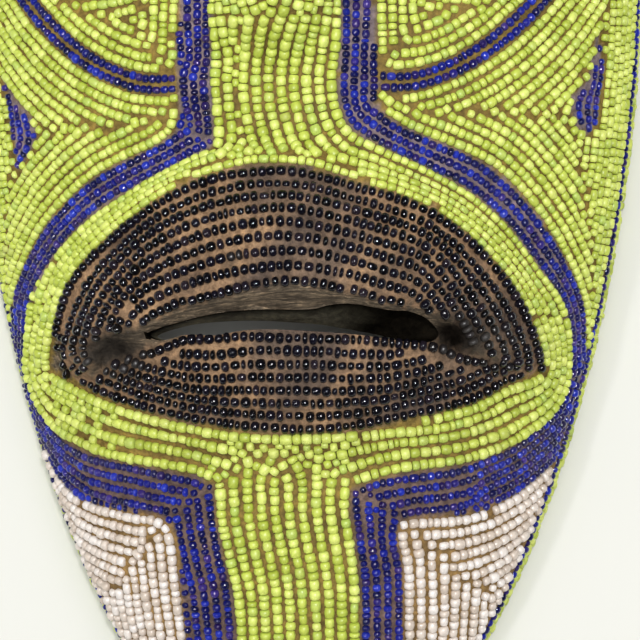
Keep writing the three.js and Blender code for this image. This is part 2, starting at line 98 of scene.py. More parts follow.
# How far both heights fall off towards the slit's ends
SLIT_BOW = 6.5
SLIT_BOW_SPAN = (22.0, 38.0)
LEFT_BAND_OUTER = [
    (-25.5, -2.5), (-25.5, -11.5), (-26, -14), (-28, -16.5), (-42.5, -23), (-48.5, -26), (-61.5, -36.5),
    (-69.5, -47), (-75, -58), (-76.5, -66), (-84, -68),
]
LEFT_BAND_INNER = [
    (-18, -1.5), (-17.5, -8), (-17, -18), (-18.5, -20), (-22.5, -22), (-36.5, -28.5), (-48.5, -34.6),
    (-61, -45.8), (-68.6, -56.7), (-71, -67.5), (-71.8, -77), (-63.5, -91), (-50.5, -97), (-35.5, -99.5),
    (-21.5, -102), (-18.5, -104.5), (-18, -111.5), (-16, -123.5), (-14.5, -131), (-13, -200),
]
LEFT_JAW = [
    (-80, -86), (-69, -92.5), (-64, -101.5), (-60, -106), (-53.5, -109), (-40.5, -111.5), (-33.5, -112),
    (-30.5, -114), (-29, -117.5), (-28.5, -123.5), (-24, -200),
]
RIGHT_BAND_OUTER = [
    (24, -3), (23.5, -8), (25, -11), (30.8, -14.6), (46.3, -21.2), (52.5, -24.8), (60, -32.2), (65, -38.7),
    (71, -49.5), (74, -57.5), (74.5, -63.5), (74.5, -70), (76, -73), (84, -74),
]
RIGHT_BAND_INNER = [
    (14, -2), (14.5, -8), (16.5, -13.5), (19, -16), (36, -24.5), (46, -30), (54.8, -37.7), (62.7, -48.3),
    (69, -57.5), (70.9, -68), (69, -82), (58, -93), (44, -98.5), (28.5, -100.5), (18, -103.5), (16, -105.5),
    (16, -109), (17.5, -122.5), (18, -130.5), (15, -200),
]
RIGHT_JAW = [
    (80, -88), (71, -94), (64.5, -100.5), (56, -107), (46, -111), (34.5, -112), (29, -112.5),
    (27.5, -114.5), (27.5, -119), (28.5, -124), (26, -200),
]
LEFT_DART = [
    (-76.5, 2.5), (-74.7, -2.8), (-73.3, -7), (-72.8, -14.3), (-72, -19), (-71, -22.4), (-69, -20.4),
    (-65.6, -16.6), (-65.1, -14), (-66.2, -11), (-71, -5.5),
]
RIGHT_DART = [
    (75.6, -0.6), (71.5, -5.7), (71.1, -8), (72, -11.5), (75.5, -14.4), (76.8, -13.6), (77.6, -9),
    (77.8, -5.2), (79, 0), (79, 6), (78, 12),
]
NOSE_SIDE = [(20.3, -4), (19.6, 20), (16, 42), (15, 66)]
BROW = [(-4, 63), (14, 65), (30, 72), (48, 74), (66, 68), (82, 57), (98, 46)]
UNDER_EYE = [(20, -4), (34, -4), (48, 2), (62, 14), (74, 30), (80, 44), (86, 56)]
# Where the rows above the lip turn from following the right band to following the left one
PHILTRUM_SEAM = [
    (-11, 12), (-11.5, -7.5), (-10, -14), (-9, -18), (-7, -21), (-4, -22.5), (0.5, -24), (2, -26),
    (2.5, -60),
]
EYE_CENTRE = (48, 34)
EYE_HALF = (14, 3.2)
LID_HALF = (20, 10)
LEFT, RIGHT = 0, 1
BOTH = ((-1, LEFT), (1, RIGHT))

RNG = np.random.default_rng(11)


# Curves


def smooth(points, closed=False, steps=8):
    """A centripetal curve through the points, as an array of (x, y)."""
    pts = np.array(points, float)
    count = len(pts)
    if closed:
        ring = np.vstack([pts[-1:], pts, pts[:2]])
        spans = count
    else:
        ring = np.vstack([2 * pts[0] - pts[1], pts, 2 * pts[-1] - pts[-2]])
        spans = count - 1
    share = np.arange(steps)[:, None] / steps
    out = []
    for i in range(spans):
        p0, p1, p2, p3 = ring[i : i + 4]
        d0, d1, d2 = (np.linalg.norm(b - a) ** 0.5 for a, b in ((p0, p1), (p1, p2), (p2, p3)))
        m1 = ((p1 - p0) / d0 - (p2 - p0) / (d0 + d1) + (p2 - p1) / d1) * d1
        m2 = ((p2 - p1) / d1 - (p3 - p1) / (d1 + d2) + (p3 - p2) / d2) * d1
        square, cube = share**2, share**3
        out.append(
            (2 * cube - 3 * square + 1) * p1
            + (cube - 2 * square + share) * m1
            + (3 * square - 2 * cube) * p2
            + (cube - square) * m2
        )
    if not closed:
        out.append(pts[-1:])
    return np.vstack(out)


def mirrored(points, side):
    return [(CENTRE_X + side * x, y) for x, y in points]


def unit(vectors):
    return vectors / np.linalg.norm(vectors, axis=-1)[..., None]


def side_of(line, offset):
    """A line moved sideways by an offset, to the left of its direction."""
    along = unit(np.gradient(line, axis=0))
    return line + offset * np.stack([-along[:, 1], along[:, 0]], 1)


def looped(line, closed):
    """A line with its first point once more at its end, if it is closed."""
    return np.vstack([line, line[:1]]) if closed else line


def run(points):
    """How far along a line each of its points lies."""
    steps = np.linalg.norm(np.diff(points, axis=0), axis=1)
    return np.concatenate([[0], np.cumsum(steps)])


def picked(points, lengths, at):
    """The points of a line at other lengths along it."""
    return np.stack([np.interp(at, lengths, column) for column in points.T], 1)


def distance_to(line, x, y, closed=False):
    best = np.full(np.shape(x), np.inf)
    ends = np.roll(line, -1, 0) if closed else line[1:]
    for (ax, ay), (bx, by) in zip(line, ends):
        dx, dy = bx - ax, by - ay
        along = np.clip(((x - ax) * dx + (y - ay) * dy) / (dx * dx + dy * dy + 1e-12), 0, 1)
        best = np.minimum(best, (x - ax - along * dx) ** 2 + (y - ay - along * dy) ** 2)
    return np.sqrt(best)


def is_inside(line, x, y):
    inside = np.zeros(np.shape(x), bool)
    for (ax, ay), (bx, by) in zip(line, np.roll(line, -1, 0)):
        if ay == by:
            continue
        crosses = ((ay > y) != (by > y)) & (x < (bx - ax) * (y - ay) / (by - ay) + ax)
        inside ^= crosses
    return inside


def height_at(line, x):
    return np.interp(x, line[:, 0], line[:, 1])


def smoothstep(value, low, high):
    t = np.clip((value - low) / (high - low), 0, 1)
    return t * t * (3 - 2 * t)


def lerp(a, b, t):
    return a + (b - a) * t


class Waves:
    """A smooth seeded unevenness over space, a sum of plane waves of about one length."""

    def __init__(self, length, count=14):
        turns = RNG.normal(size=(count, 3))
        turns /= np.linalg.norm(turns, axis=1)[:, None]
        self.steps = turns * (2 * math.pi / length) * RNG.uniform(0.6, 1.5, (count, 1))
        self.starts = RNG.uniform(0, 2 * math.pi, count)

    def __call__(self, points):
        total = np.zeros(points.shape[:-1])
        for step, start in zip(self.steps, self.starts):
            total += np.sin(points @ step + start)
        return total / math.sqrt(len(self.steps))


# The carved surface

mouth_line = smooth(MOUTH, True)
front_line = smooth(UPPER_FRONT)
lower_line = smooth(LOWER_TOP)
slit_line = smooth(SLIT, True)
slit_back_line = smooth(SLIT_BACK, True)
brow_lines, nose_lines, eye_lines = (
    {side: smooth(mirrored(line, side)) for side in (-1, 1)}
    for line in (BROW, NOSE_SIDE, UNDER_EYE)
)
outer_lines = {-1: smooth(LEFT_BAND_OUTER), 1: smooth(RIGHT_BAND_OUTER)}
inner_lines = {-1: smooth(LEFT_BAND_INNER), 1: smooth(RIGHT_BAND_INNER)}
jaw_lines = {-1: smooth(LEFT_JAW), 1: smooth(RIGHT_JAW)}
dart_lines = {-1: smooth(LEFT_DART, True), 1: smooth(RIGHT_DART, True)}


def ellipse_line(side, half, power, count=48):
    """The outline of an eye or its lid, flatter or sharper than an ellipse by its power."""
    turn = np.arange(count) / count * 2 * math.pi
    rise = np.sign(np.sin(turn)) * np.abs(np.sin(turn)) ** power
    x = CENTRE_X + side * EYE_CENTRE[0] + half[0] * np.cos(turn)
    return np.stack([x, EYE_CENTRE[1] + half[1] * rise], 1)


lid_outlines = {side: ellipse_line(side, LID_HALF, 1.2) for side in (-1, 1)}
eye_slits = {side: ellipse_line(side, EYE_HALF, 1.3) for side in (-1, 1)}


def along_shape(up, inset=0.0):
    """The length and the power of the dome's outline above and below its widest place."""
    return np.where(up, BROW_LENGTH, CHIN_LENGTH) - inset, np.where(up, BROW_POWER, CHIN_POWER)


def dome_height(x, y):
    length, power = along_shape(y > WIDEST_Y)
    spent = np.abs(x / HALF_WIDTH) ** ACROSS_POWER + np.abs((y - WIDEST_Y) / length) ** power
    return DOME_HEIGHT * np.sqrt(np.clip(1 - spent, 0, 1))


def lip_relief(x, y):
    edge = distance_to(mouth_line, x, y, True) * np.where(is_inside(mouth_line, x, y), 1, -1)
    fullness = 1 - 0.5 * np.minimum(1, np.abs(x / MOUTH_HALF)) ** 3
    rim = lerp(LOWER_EDGE, LIP_EDGE, smoothstep(y, *LIP_CHANGE)) * smoothstep(edge, -LIP_SLOPE, 0)
    inward = np.maximum(edge, 0)
    grown_in = smoothstep(inward, 0, LIP_TAPER)
    peak, hem = lerp(rim, LIP_FRONT, grown_in), lerp(rim, SLIT_LIP, grown_in)

    def swell(top, onward):
        """The round rise from the mouth's outline to the top, over what is left onward to it."""
        way = inward / (inward + np.maximum(onward, 1e-6))
        return rim + (top - rim) * np.sin(way * math.pi / 2)

    front = y - height_at(front_line, x)
    down = height_at(lower_line, x) - y
    under = lerp(peak, hem, np.clip(-front / LIP_OVERHANG, 0, 1))
    inner = np.where(down < 0, under, swell(hem, down))
    shape = np.where(front > 0, swell(peak, front), inner)
    return fullness * np.where(edge < 0, rim, shape)


def nose_relief(x, y):
    up = (y - NOSE_BASE_Y) / (NOSE_TOP_Y - NOSE_BASE_Y)
    across = np.minimum(1, np.abs(x - CENTRE_X) / lerp(*NOSE_HALF, np.clip(up, 0, 1)))
    height = lerp(NOSE_TIP, NOSE_BRIDGE, np.maximum(0, up))
    shape = smoothstep(up, -0.2, 0.2) * (1 - smoothstep(up, 0.85, 1.15))
    return height * shape * np.maximum(0, np.cos(across * math.pi / 2)) ** 1.5


def lid_relief(x, y):
    dx = (np.abs(x - CENTRE_X) - EYE_CENTRE[0]) / (LID_HALF[0] + LID_MARGIN)
    dy = (y - EYE_CENTRE[1]) / (LID_HALF[1] + LID_MARGIN)
    return LID_HEIGHT * (1 - smoothstep(np.hypot(dx, dy), 0.55, 1))


def brow_relief(x, y):
    left, right = (distance_to(brow_lines[side], x, y) for side in (-1, 1))
    return BROW_HEIGHT * (1 - smoothstep(np.where(x < CENTRE_X, left, right), *BROW_SLOPE))


def around(grid):
    """The sum of the four neighbours of each inner point of a grid."""
    return grid[2:, 1:-1] + grid[:-2, 1:-1] + grid[1:-1, 2:] + grid[1:-1, :-2]


class Relief:
    """The relief on a fine plan grid, looked up between its points."""

    STEP = 0.5
    X0, Y0 = -96.0, -200.0

    def __init__(self):
        x = np.arange(self.X0, -self.X0 + 0.1, self.STEP)[:, None]
        y = np.arange(self.Y0, -self.Y0 + 0.1, self.STEP)[None, :]
        x, y = np.broadcast_arrays(x, y)
        r = np.arccos(np.clip(dome_height(x, y) / DOME_HEIGHT, 0, 1)) / RIM_FALL
        height = lip_relief(x, y) + nose_relief(x, y) + lid_relief(x, y) + brow_relief(x, y)
        height = (1 - smoothstep(r, *RELIEF_END)) * height
        for _ in range(3):
            inner = height[1:-1, 1:-1]
            height[1:-1, 1:-1] += 0.125 * (around(height) - 4 * inner)
        slope_x, slope_y = np.gradient(height, self.STEP)
        self.layers = (height, slope_x, slope_y)

    def look(self, layer, x, y):
        grid = self.layers[layer]
        u = np.clip((x - self.X0) / self.STEP, 0, grid.shape[0] - 1.001)
        v = np.clip((y - self.Y0) / self.STEP, 0, grid.shape[1] - 1.001)
        i, j = u.astype(int), v.astype(int)
        u, v = u - i, v - j
        near = grid[i, j] * (1 - v) + grid[i, j + 1] * v
        far = grid[i + 1, j] * (1 - v) + grid[i + 1, j + 1] * v
        return near * (1 - u) + far * u


relief = Relief()


def surface_height(x, y):
    return dome_height(x, y) + relief.look(0, x, y)


def normals(x, y, z_dome, share=1.0, inset=0.0):
    """Unit normals of the dome with its relief, where the height on the plain dome is known."""
    length, power = along_shape(y > WIDEST_Y, inset)
    width = HALF_WIDTH - inset
    t = (y - WIDEST_Y) / length
    gx = ACROSS_POWER * np.abs(x / width) ** (ACROSS_POWER - 1) * np.sign(x) / width
    gy = power * np.abs(t) ** (power - 1) * np.sign(t) / length
    gz = 2 * z_dome / (DOME_HEIGHT - inset) ** 2
    lean_x, lean_y = (share * gz * relief.look(layer, x, y) for layer in (1, 2))
    return unit(np.stack([gx - lean_x, gy - lean_y, gz], -1))


def plan_normals(x, y):
    return normals(x, y, np.maximum(dome_height(x, y), 1.0))


def dome_points(turn, fall, inset=0.0):
    """Points of the dome, shrunk by inset, at a turn round it and a fall from its top."""
    cx, cy = np.cos(turn), np.sin(turn)
    length, power = along_shape(cy > 0, inset)
    spent = np.sin(fall) ** 2
    reach = np.sin(fall) + 1e-9
    for _ in range(20):
        total = np.abs(reach * cx) ** ACROSS_POWER + np.abs(reach * cy) ** power
        reach = reach * ((spent + 1e-12) / (total + 1e-12)) ** 0.55
    x = (HALF_WIDTH - inset) * reach * cx
    y = WIDEST_Y + length * reach * cy
    return x, y, (DOME_HEIGHT - inset) * np.cos(fall)


def square_to_disc(columns, rows):
    """The turn and the reach in a disc for each point of a grid over the square round it."""
    a, b = np.meshgrid(np.linspace(-1, 1, columns), np.linspace(-1, 1, rows), indexing="ij")
    dx = a * np.sqrt(1 - b * b / 2)
    dy = b * np.sqrt(1 - a * a / 2)
    return np.arctan2(dy, dx), np.minimum(1, np.hypot(dx, dy))


def front_grid(columns, rows, inset=0.0, share=1.0):
    """The points and the normals of the face above the rim rows, as a grid."""
    turn, r = square_to_disc(columns, rows)
    x, y, z = dome_points(turn, r * RIM_FALL, inset)
    n = normals(x, y, z, share, inset)
    return np.stack([x, y, z + share * relief.look(0, x, y)], -1), n


def wall_points(turn, height, inset=0.0):
    """The wall below the dome, which flares out less than the dome would."""
    fall = math.acos(lerp(RIM_TOP, height, RIM_FLARE) / (DOME_HEIGHT - inset))
    x, y, z = dome_points(turn, np.full(np.shape(turn), fall), inset)
    points = np.stack([x, y, np.full(np.shape(x), float(height))], -1)
    return points, normals(x, y, RIM_FLARE * z, 0.0, inset)


def on_surface(line):
    x, y = line[:, 0], line[:, 1]
    return np.stack([x, y, surface_height(x, y)], 1)


# How high the middles of the beads lie above the carved surface
LIFT = 1.3


def lifted(points, n=None):
    """Each point raised to the middles of the beads, followed by the point itself."""
    if n is None:
        n = plan_normals(points[..., 0], points[..., 1])
    return np.concatenate([points + LIFT * n, points], -1)


# The colour fields

BARE, UPPER_LIP, LOWER_LIP, FACE, FOREHEAD = range(5)
BLUE, DART, JAW, LID, CHEEK = 10, 12, 14, 16, 18
FIELD_NAMES = {
    UPPER_LIP: "black_beads_upper_lip",
    LOWER_LIP: "black_beads_lower_lip",
    FACE: "lime_beads_face",
    FOREHEAD: "lime_beads_forehead",
    BLUE + LEFT: "blue_beads_left",
    BLUE + RIGHT: "blue_beads_right",
    DART + LEFT: "blue_beads_left_dart",
    DART + RIGHT: "blue_beads_right_dart",
    JAW + LEFT: "white_beads_left_jaw",
    JAW + RIGHT: "white_beads_right_jaw",
    LID + LEFT: "black_beads_left_eye",
    LID + RIGHT: "black_beads_right_eye",
    CHEEK + LEFT: "lime_beads_left_cheek",
    CHEEK + RIGHT: "lime_beads_right_cheek",
}

EYE_MARGIN = 0.8
# Places well outside the mask, or outside the mouth, that close an outline
TOP_FAR = [(130, 220), (-130, 220)]
JAW_FAR_X, JAW_FAR_Y = 120, -230
MOUTH_FAR_X, MOUTH_FAR_Y = 80, -120


def above_nose_base(side):
    line = nose_lines[side]
    return line[line[:, 1] > 0]


face_outline = np.vstack([
    inner_lines[-1][::-1], above_nose_base(-1), above_nose_base(1)[::-1], inner_lines[1],
])
forehead_outline = np.vstack([brow_lines[-1][::-1], brow_lines[1], TOP_FAR])
upper_outline, lower_outline = (
    np.vstack([line, [(MOUTH_FAR_X, y), (-MOUTH_FAR_X, y)]])
    for line, y in ((front_line, 0), (lower_line, MOUTH_FAR_Y))
)
band_outlines = {
    side: np.vstack([outer_lines[side], jaw_lines[side], inner_lines[side][::-1]])
    for side in (-1, 1)
}
jaw_outlines = {
    side: np.vstack([line, [(side * JAW_FAR_X, JAW_FAR_Y), (side * JAW_FAR_X, line[0, 1])]])
    for side, line in jaw_lines.items()
}


def fields(x, y):
    """The code of the field that each point of the plan lies in."""
    codes = np.where(x < CENTRE_X, CHEEK + LEFT, CHEEK + RIGHT)
    codes[is_inside(forehead_outline, x, y)] = FOREHEAD
    codes[is_inside(face_outline, x, y)] = FACE
    for side, at in BOTH:
        half = (x - CENTRE_X) * side >= 0
        codes[is_inside(jaw_outlines[side], x, y)] = JAW + at
        codes[is_inside(dart_lines[side], x, y)] = DART + at
        codes[is_inside(lid_outlines[side], x, y)] = LID + at
        blue = is_inside(band_outlines[side], x, y)
        blue |= distance_to(nose_lines[side], x, y) < STROKE_HALF
        blue |= distance_to(brow_lines[side], x, y) < STROKE_HALF
        codes[blue & half] = BLUE + at
        codes[distance_to(eye_slits[side], x, y, True) < EYE_MARGIN] = BARE
        codes[is_inside(eye_slits[side], x, y)] = BARE
    mouth = is_inside(mouth_line, x, y)
    codes[mouth] = BARE
    codes[mouth & is_inside(upper_outline, x, y)] = UPPER_LIP
    codes[mouth & is_inside(lower_outline, x, y)] = LOWER_LIP
    return codes


# Rows of beads, as lines where the distance to a guide is a whole number of rows and a half


def guide_tree(*lines):
    points = np.vstack(lines)
    tree = KDTree(len(points))
    for i, point in enumerate(points):
        tree.insert(point[:3], i)
    tree.balance()
    return tree


def dense(line, closed=False, step=0.25):
    """A line of the plan raised from the surface, with points a small step apart."""
    line = looped(line, closed)
    lengths = run(on_surface(line))
    return lifted(on_surface(picked(line, lengths, np.arange(0, lengths[-1], step))))


# What stands on an edge that no line crosses
NO_LEVEL = -999
# Pairs of a cell's four edges that may be joined where lines cross all four
NEXT_EDGES = ((0, 2), (1, 3), (0, 3), (1, 2))


def crossings(level, points):
    """The whole number that level passes on each edge of the grid, and the places, by edge."""
    floor = np.floor(level)
    index = np.arange(level.size).reshape(level.shape)
    numbers, places = [], {}
    ways = ((np.s_[:-1, :], np.s_[1:, :]), (np.s_[:, :-1], np.s_[:, 1:]))
    for axis, (here, there) in enumerate(ways):
        with np.errstate(invalid="ignore"):
            cross = np.isfinite(level[here]) & np.isfinite(level[there])
            cross &= floor[here] != floor[there]
            top = np.maximum(floor[here], floor[there])
            share = (top - level[here]) / (level[there] - level[here])
        number = np.full(level.shape, NO_LEVEL)
        number[here] = np.where(cross, np.nan_to_num(top), NO_LEVEL)
        numbers.append(number)
        start, end = points[here][cross], points[there][cross]
        spots = start + (end - start) * share[cross][:, None]
        places.update(zip((axis * level.size + index[here][cross]).tolist(), spots))
    return numbers, places


def linked(numbers):
    """Which edges follow each other on a line, and the number of the line on each."""
    first, second = numbers
    index = np.arange(first.size).reshape(first.shape)
    edges = np.stack([first[:-1, :-1], first[:-1, 1:], second[:-1, :-1], second[1:, :-1]])
    keys = [index[:-1, :-1], index[:-1, 1:]]
    keys = np.stack(keys + [first.size + index[:-1, :-1], first.size + index[1:, :-1]])
    plain = (edges > NO_LEVEL).sum(0) < 4
    links, order = {}, {}
    for one, two in itertools.combinations(range(4), 2):
        match = (edges[one] == edges[two]) & (edges[one] > NO_LEVEL)
        match &= plain | ((one, two) in NEXT_EDGES)
        joins = (part[match].tolist() for part in (keys[one], keys[two], edges[one]))
        for p, q, number in zip(*joins):
            if len(links.get(p, ())) < 2 and len(links.get(q, ())) < 2:
                links.setdefault(p, []).append(q)
                links.setdefault(q, []).append(p)
                order[p] = order[q] = number
    return links, order


def chains(level, points):
    """The lines along which level is a whole number: (number, points, closed), lowest first."""
    numbers, places = crossings(level, points)
    links, order = linked(numbers)
    out, seen = [], set()
    for start in [key for key in links if len(links[key]) == 1] + list(links):
        if start in seen:
            continue
        line = [start]
        seen.add(start)
        while onward := [key for key in links[line[-1]] if key not in seen]:
            line.append(onward[0])
            seen.add(onward[0])
        if len(line) > 2:
            closed = len(line) > 3 and line[0] in links[line[-1]]
            out.append((order[start], np.array([places[key] for key in line]), closed))
    return sorted(out, key=lambda chain: chain[0])


def softened(line, closed, width, step=0.4):
    """A line with evenly spaced points and rounded kinks."""
    points = looped(line, closed)
    lengths = run(points[:, :3])
    count = int(lengths[-1] / step)
    half = min(int(3 * width / step), count - 2)
    if half < 2:
        return line
    even = picked(points, lengths, np.linspace(0, lengths[-1], count, endpoint=not closed))
    before, after = even[-half:], even[:half]
    if not closed:
        before = 2 * even[0] - even[half:0:-1]
        after = 2 * even[-1] - even[-2 : -half - 2 : -1]
    weight = np.exp(-0.5 * (np.arange(-half, half + 1) * step / width) ** 2)
    weight /= weight.sum()
    padded = np.vstack([before, even, after])
    return np.stack([np.convolve(column, weight, "valid") for column in padded.T], 1)


# How the beads of one colour are made and threaded, in millimetres, and a bead in its place
Bead = namedtuple("Bead", "slot radius length spread gap profile hole uneven", defaults=[0.07])
Laid = namedtuple("Laid", "centre along across length radius up node kind")
# Along each bead: its place from end to end and its share of the radius
BARREL = ((-0.5, 0.6), (-0.4, 0.9), (0.0, 1.0), (0.4, 0.9), (0.5, 0.6))
ROUND = ((-0.5, 0.55), (-0.35, 0.88), (0.0, 1.0), (0.35, 0.88), (0.5, 0.55))
LIME = Bead("lime_glass", 1.37, 2.2, 0.42, 0.2, BARREL, 2.3)
FOOT_LIME = Bead("lime_glass", 1.1, 2.1, 0.3, 0.2, BARREL, 1.95)
CHEEK_LIME = Bead("lime_glass", 1.2, 2.05, 0.36, 0.18, BARREL, 2.1)
RIM_LIME = Bead("lime_glass", 1.24, 2.2, 0.3, 0.12, BARREL, 2.1)
BLUE_GLASS = Bead("blue_glass", 1.12, 1.7, 0.28, 0.12, ROUND, 2.05)
SMALL_BLUE = Bead("blue_glass", 0.92, 1.5, 0.2, 0.12, ROUND, 1.75)
BLACK = Bead("black_glass", 1.33, 1.7, 0.34, 0.42, ROUND, 2.7, 0.11)
WHITE = Bead("white_glass", 1.32, 2.1, 0.38, 0.22, BARREL, 2.35)
# How high a bead's middle lies above the surface: this much, and a share of its radius
FIRST_LIFT, SEAT = 0.12, 0.9
# The most of a bead's radius, as a share of the pitch of its row
WIDEST_SHARE = 0.47
# How far beads stray from the line of their row
STRAY = 0.05
# The share of their size that two beads keep to themselves
TIGHT, FILL_TIGHT, RIM_TIGHT = 0.84, 0.8, 0.75
# The least and most of a bead's length, gap and radius, as shares of what its kind has
LENGTHS, GAPS, RADII = (0.55, 1.5), (0.3, 1.8), (0.76, 1.14)
FILL_LENGTHS, FILL_RADII = (0.8, 1.05), (0.84, 1)
# The share of the holes that get a bead, and how far a row is stretched to fill its line
FILL_SHARE, MOST_STRETCH = 0.92, 1.08
# How far from its middle a bead has to lie in its field, in lengths and in radii
IN_FIELD = (0.4, 0.6)
# The height above which the fields begin
FIELD_LOW = 11.6


def overlaps(one, two, apart, tight):
    """Whether two beads meet as far as the two directions of the first one can tell."""
    for way, half in ((one.along, one.length / 2), (one.across, one.radius)):
        half = half + abs(two.along @ way) * (two.length / 2) + abs(two.across @ way) * two.radius
        if abs(apart @ way) > tight * half:
            return False
    return True


def fits(code, centre, along, across, length, radius):
    """Which beads lie in one field with nearly all their width."""
    keep = (fields(centre[:, 0], centre[:, 1]) == code) & (centre[:, 2] > FIELD_LOW)
    for way, half in ((along, length * IN_FIELD[0]), (across, radius * IN_FIELD[1])):
        for sign in (-1, 1):
            probe = centre + sign * way * half[:, None]
            keep &= fields(probe[:, 0], probe[:, 1]) == code
    return keep


class Beadwork:
    """All the beads that are laid so far, none overlapping another."""

    # The side of the cells that beads are kept in, and the squared distance past which none touch
    CELL, FAR_SQUARED = 3.4, 14

    def __init__(self):
        self.beads = []
        self.cells = {}

    def cell(self, place):
        return tuple(int(math.floor(c / self.CELL)) for c in place)

    def near(self, place):
        cell = self.cell(place)
        for step in itertools.product((-1, 0, 1), repeat=3):
            yield from self.cells.get(tuple(c + s for c, s in zip(cell, step)), ())

    def clashes(self, bead, tight):
        for at in self.near(bead.centre):
            other = self.beads[at]
            apart = other.centre - bead.centre
            if apart @ apart > self.FAR_SQUARED:
                continue
            if overlaps(bead, other, apart, tight) and overlaps(other, bead, apart, tight):
                return True
        return False

    def crowded(self, spot, gap):
        return any(np.sum((self.beads[at].centre - spot) ** 2) < gap**2 for at in self.near(spot))

    def add(self, bead):
        self.cells.setdefault(self.cell(bead.centre), []).append(len(self.beads))
        self.beads.append(bead)

    def lay(self, lines, kind, code=None, margin=1.0, region=None, node=None, tight=TIGHT, normal_of=None):
        """Threads beads along lines; those stay that lie in the field and touch no other."""
        places = [thread(line, closed, kind) for line, closed in lines]
        places = [place for place in places if place is not None]
        if not places:
            return
        centre, base, along, length, radius = (np.concatenate(part) for part in zip(*places))
        x, y = base[:, 0], base[:, 1]
        n = plan_normals(x, y) if normal_of is None else normal_of(centre)
        across = unit(np.cross(n, along))
        keep = np.ones(len(centre), bool) if region is None else region(x, y)
        if code is not None:
            keep = keep & fits(code, base, along, across, length * margin, radius * margin)
            node = FIELD_NAMES[code]
        centre = centre + n * (FIRST_LIFT + radius * SEAT - LIFT)[:, None]
        centre = centre + across * RNG.normal(0, STRAY, len(centre))[:, None]
        for i in np.flatnonzero(keep):
            bead = Laid(centre[i], along[i], across[i], length[i], radius[i], n[i], node, kind)
            if not self.clashes(bead, tight):
                self.add(bead)

    def lay_field(self, code, kind, guide, pitch, margin=1.0, where=True, **options):
        """Lays the rows of a field, or of the part of it where a mask holds."""
        self.lay(rows(is_code(code) & where, guide, pitch, **options), kind, code, margin)

    def fill(self, kinds, where=True):
        """Single beads where the rows have left a hole wider than a bead."""
        tree = guide_tree(np.array([bead.centre for bead in self.beads]))
        n = plan_normals(grid_x, grid_y)
        for code, kind in kinds.items():
            mask = (codes_grid == code) & where
            base, up = points_grid[mask], n[mask]
            spots = base + up * (FIRST_LIFT + SEAT * kind.radius)
            nearest, gaps = (np.array(v) for v in zip(*[tree.find(spot)[1:] for spot in spots]))
            wide = gaps > kind.hole
            if not wide.any():
                continue
            base, up, spots, nearest, gaps = (v[wide] for v in (base, up, spots, nearest, gaps))
            along = np.array([self.beads[at].along for at in nearest])
            along = unit(along - up * np.sum(along * up, 1)[:, None])
            across = np.cross(up, along)
            length = kind.length * RNG.uniform(*FILL_LENGTHS, len(base))
            radius = kind.radius * RNG.uniform(*FILL_RADII, len(base))
            keep = fits(code, base, along, across, length, radius)
            for i in np.argsort(-gaps):
                if not keep[i] or self.crowded(spots[i], kind.hole):
                    continue
                place = spots[i], along[i], across[i], length[i], radius[i], up[i]
                bead = Laid(*place, FIELD_NAMES[code], kind)
                if RNG.random() < FILL_SHARE and not self.clashes(bead, FILL_TIGHT):
                    self.add(bead)


def thread(line, closed, kind):
    """Bead places along a line: middles, places below them, directions, lengths and radii."""
    points = looped(line, closed)
    lengths = run(points[:, :3])
    total = lengths[-1]
    count = int(total / (kind.length + kind.gap) * 1.5) + 3
    length = RNG.normal(kind.length, kind.spread, count)
    length = np.clip(length, kind.length * LENGTHS[0], kind.length * LENGTHS[1])
    gap = kind.gap * RNG.uniform(*GAPS, count)
    ends = np.cumsum(length + gap)
    fit = int(np.searchsorted(ends, total))
    if fit < 1:
        return None
    stretch = np.clip(total / ends[fit - 1], 1, MOST_STRETCH)
    length, ends = length[:fit] * stretch, ends[:fit] * stretch
    middle = ends - gap[:fit] * stretch / 2 - length / 2
    start, end = np.maximum(0, middle - length * 0.6), np.minimum(total, middle + length * 0.6)
    along = picked(points[:, :3], lengths, end) - picked(points[:, :3], lengths, start)
    along /= np.linalg.norm(along, axis=1)[:, None] + 1e-9
    radius = kind.radius * np.clip(RNG.normal(1, kind.uneven, fit), *RADII)
    if points.shape[1] > 6:
        radius = np.minimum(radius, WIDEST_SHARE * np.interp(middle, lengths, points[:, 6]))
    places = picked(points, lengths, middle)
    return places[:, :3], places[:, 3:6], along, length, radius


GRID = (361, 641)
points_grid, normals_grid = front_grid(*GRID)
grid_x, grid_y = points_grid[..., 0], points_grid[..., 1]
from_middle = np.abs(grid_x - CENTRE_X)
lifted_grid = lifted(points_grid, normals_grid)
codes_grid = fields(grid_x, grid_y)
slow_waves, quick_waves = Waves(42), Waves(11)
unevenness = 0.16 * slow_waves(points_grid) + 0.07 * quick_waves(points_grid)
# The share of the unevenness in rows that are counted
CALM = 0.6


def grown(mask, times=3):
    for _ in range(times):
        wide = mask.copy()
        wide[1:] |= mask[:-1]
        wide[:-1] |= mask[1:]
        wide[:, 1:] |= mask[:, :-1]
        wide[:, :-1] |= mask[:, 1:]
        mask = wide
    return mask


def reach(mask, tree):
    """How far the beads' middles lie from a guide, where a mask holds."""
    out = np.full(mask.shape, np.nan)
    out[mask] = [tree.find(spot)[2] for spot in lifted_grid[mask][:, :3]]
    return out


def level_lines(level, pitch, last=99, soft=1.3):
    """The lines where level is a whole number up to the last one, softened."""
    pitch = np.broadcast_to(pitch, level.shape)[..., None]
    found = chains(level, np.concatenate([lifted_grid, pitch], -1))
    return [
        (softened(line, closed, soft), closed)
        for order, line, closed in found if 0 <= order <= last
    ]


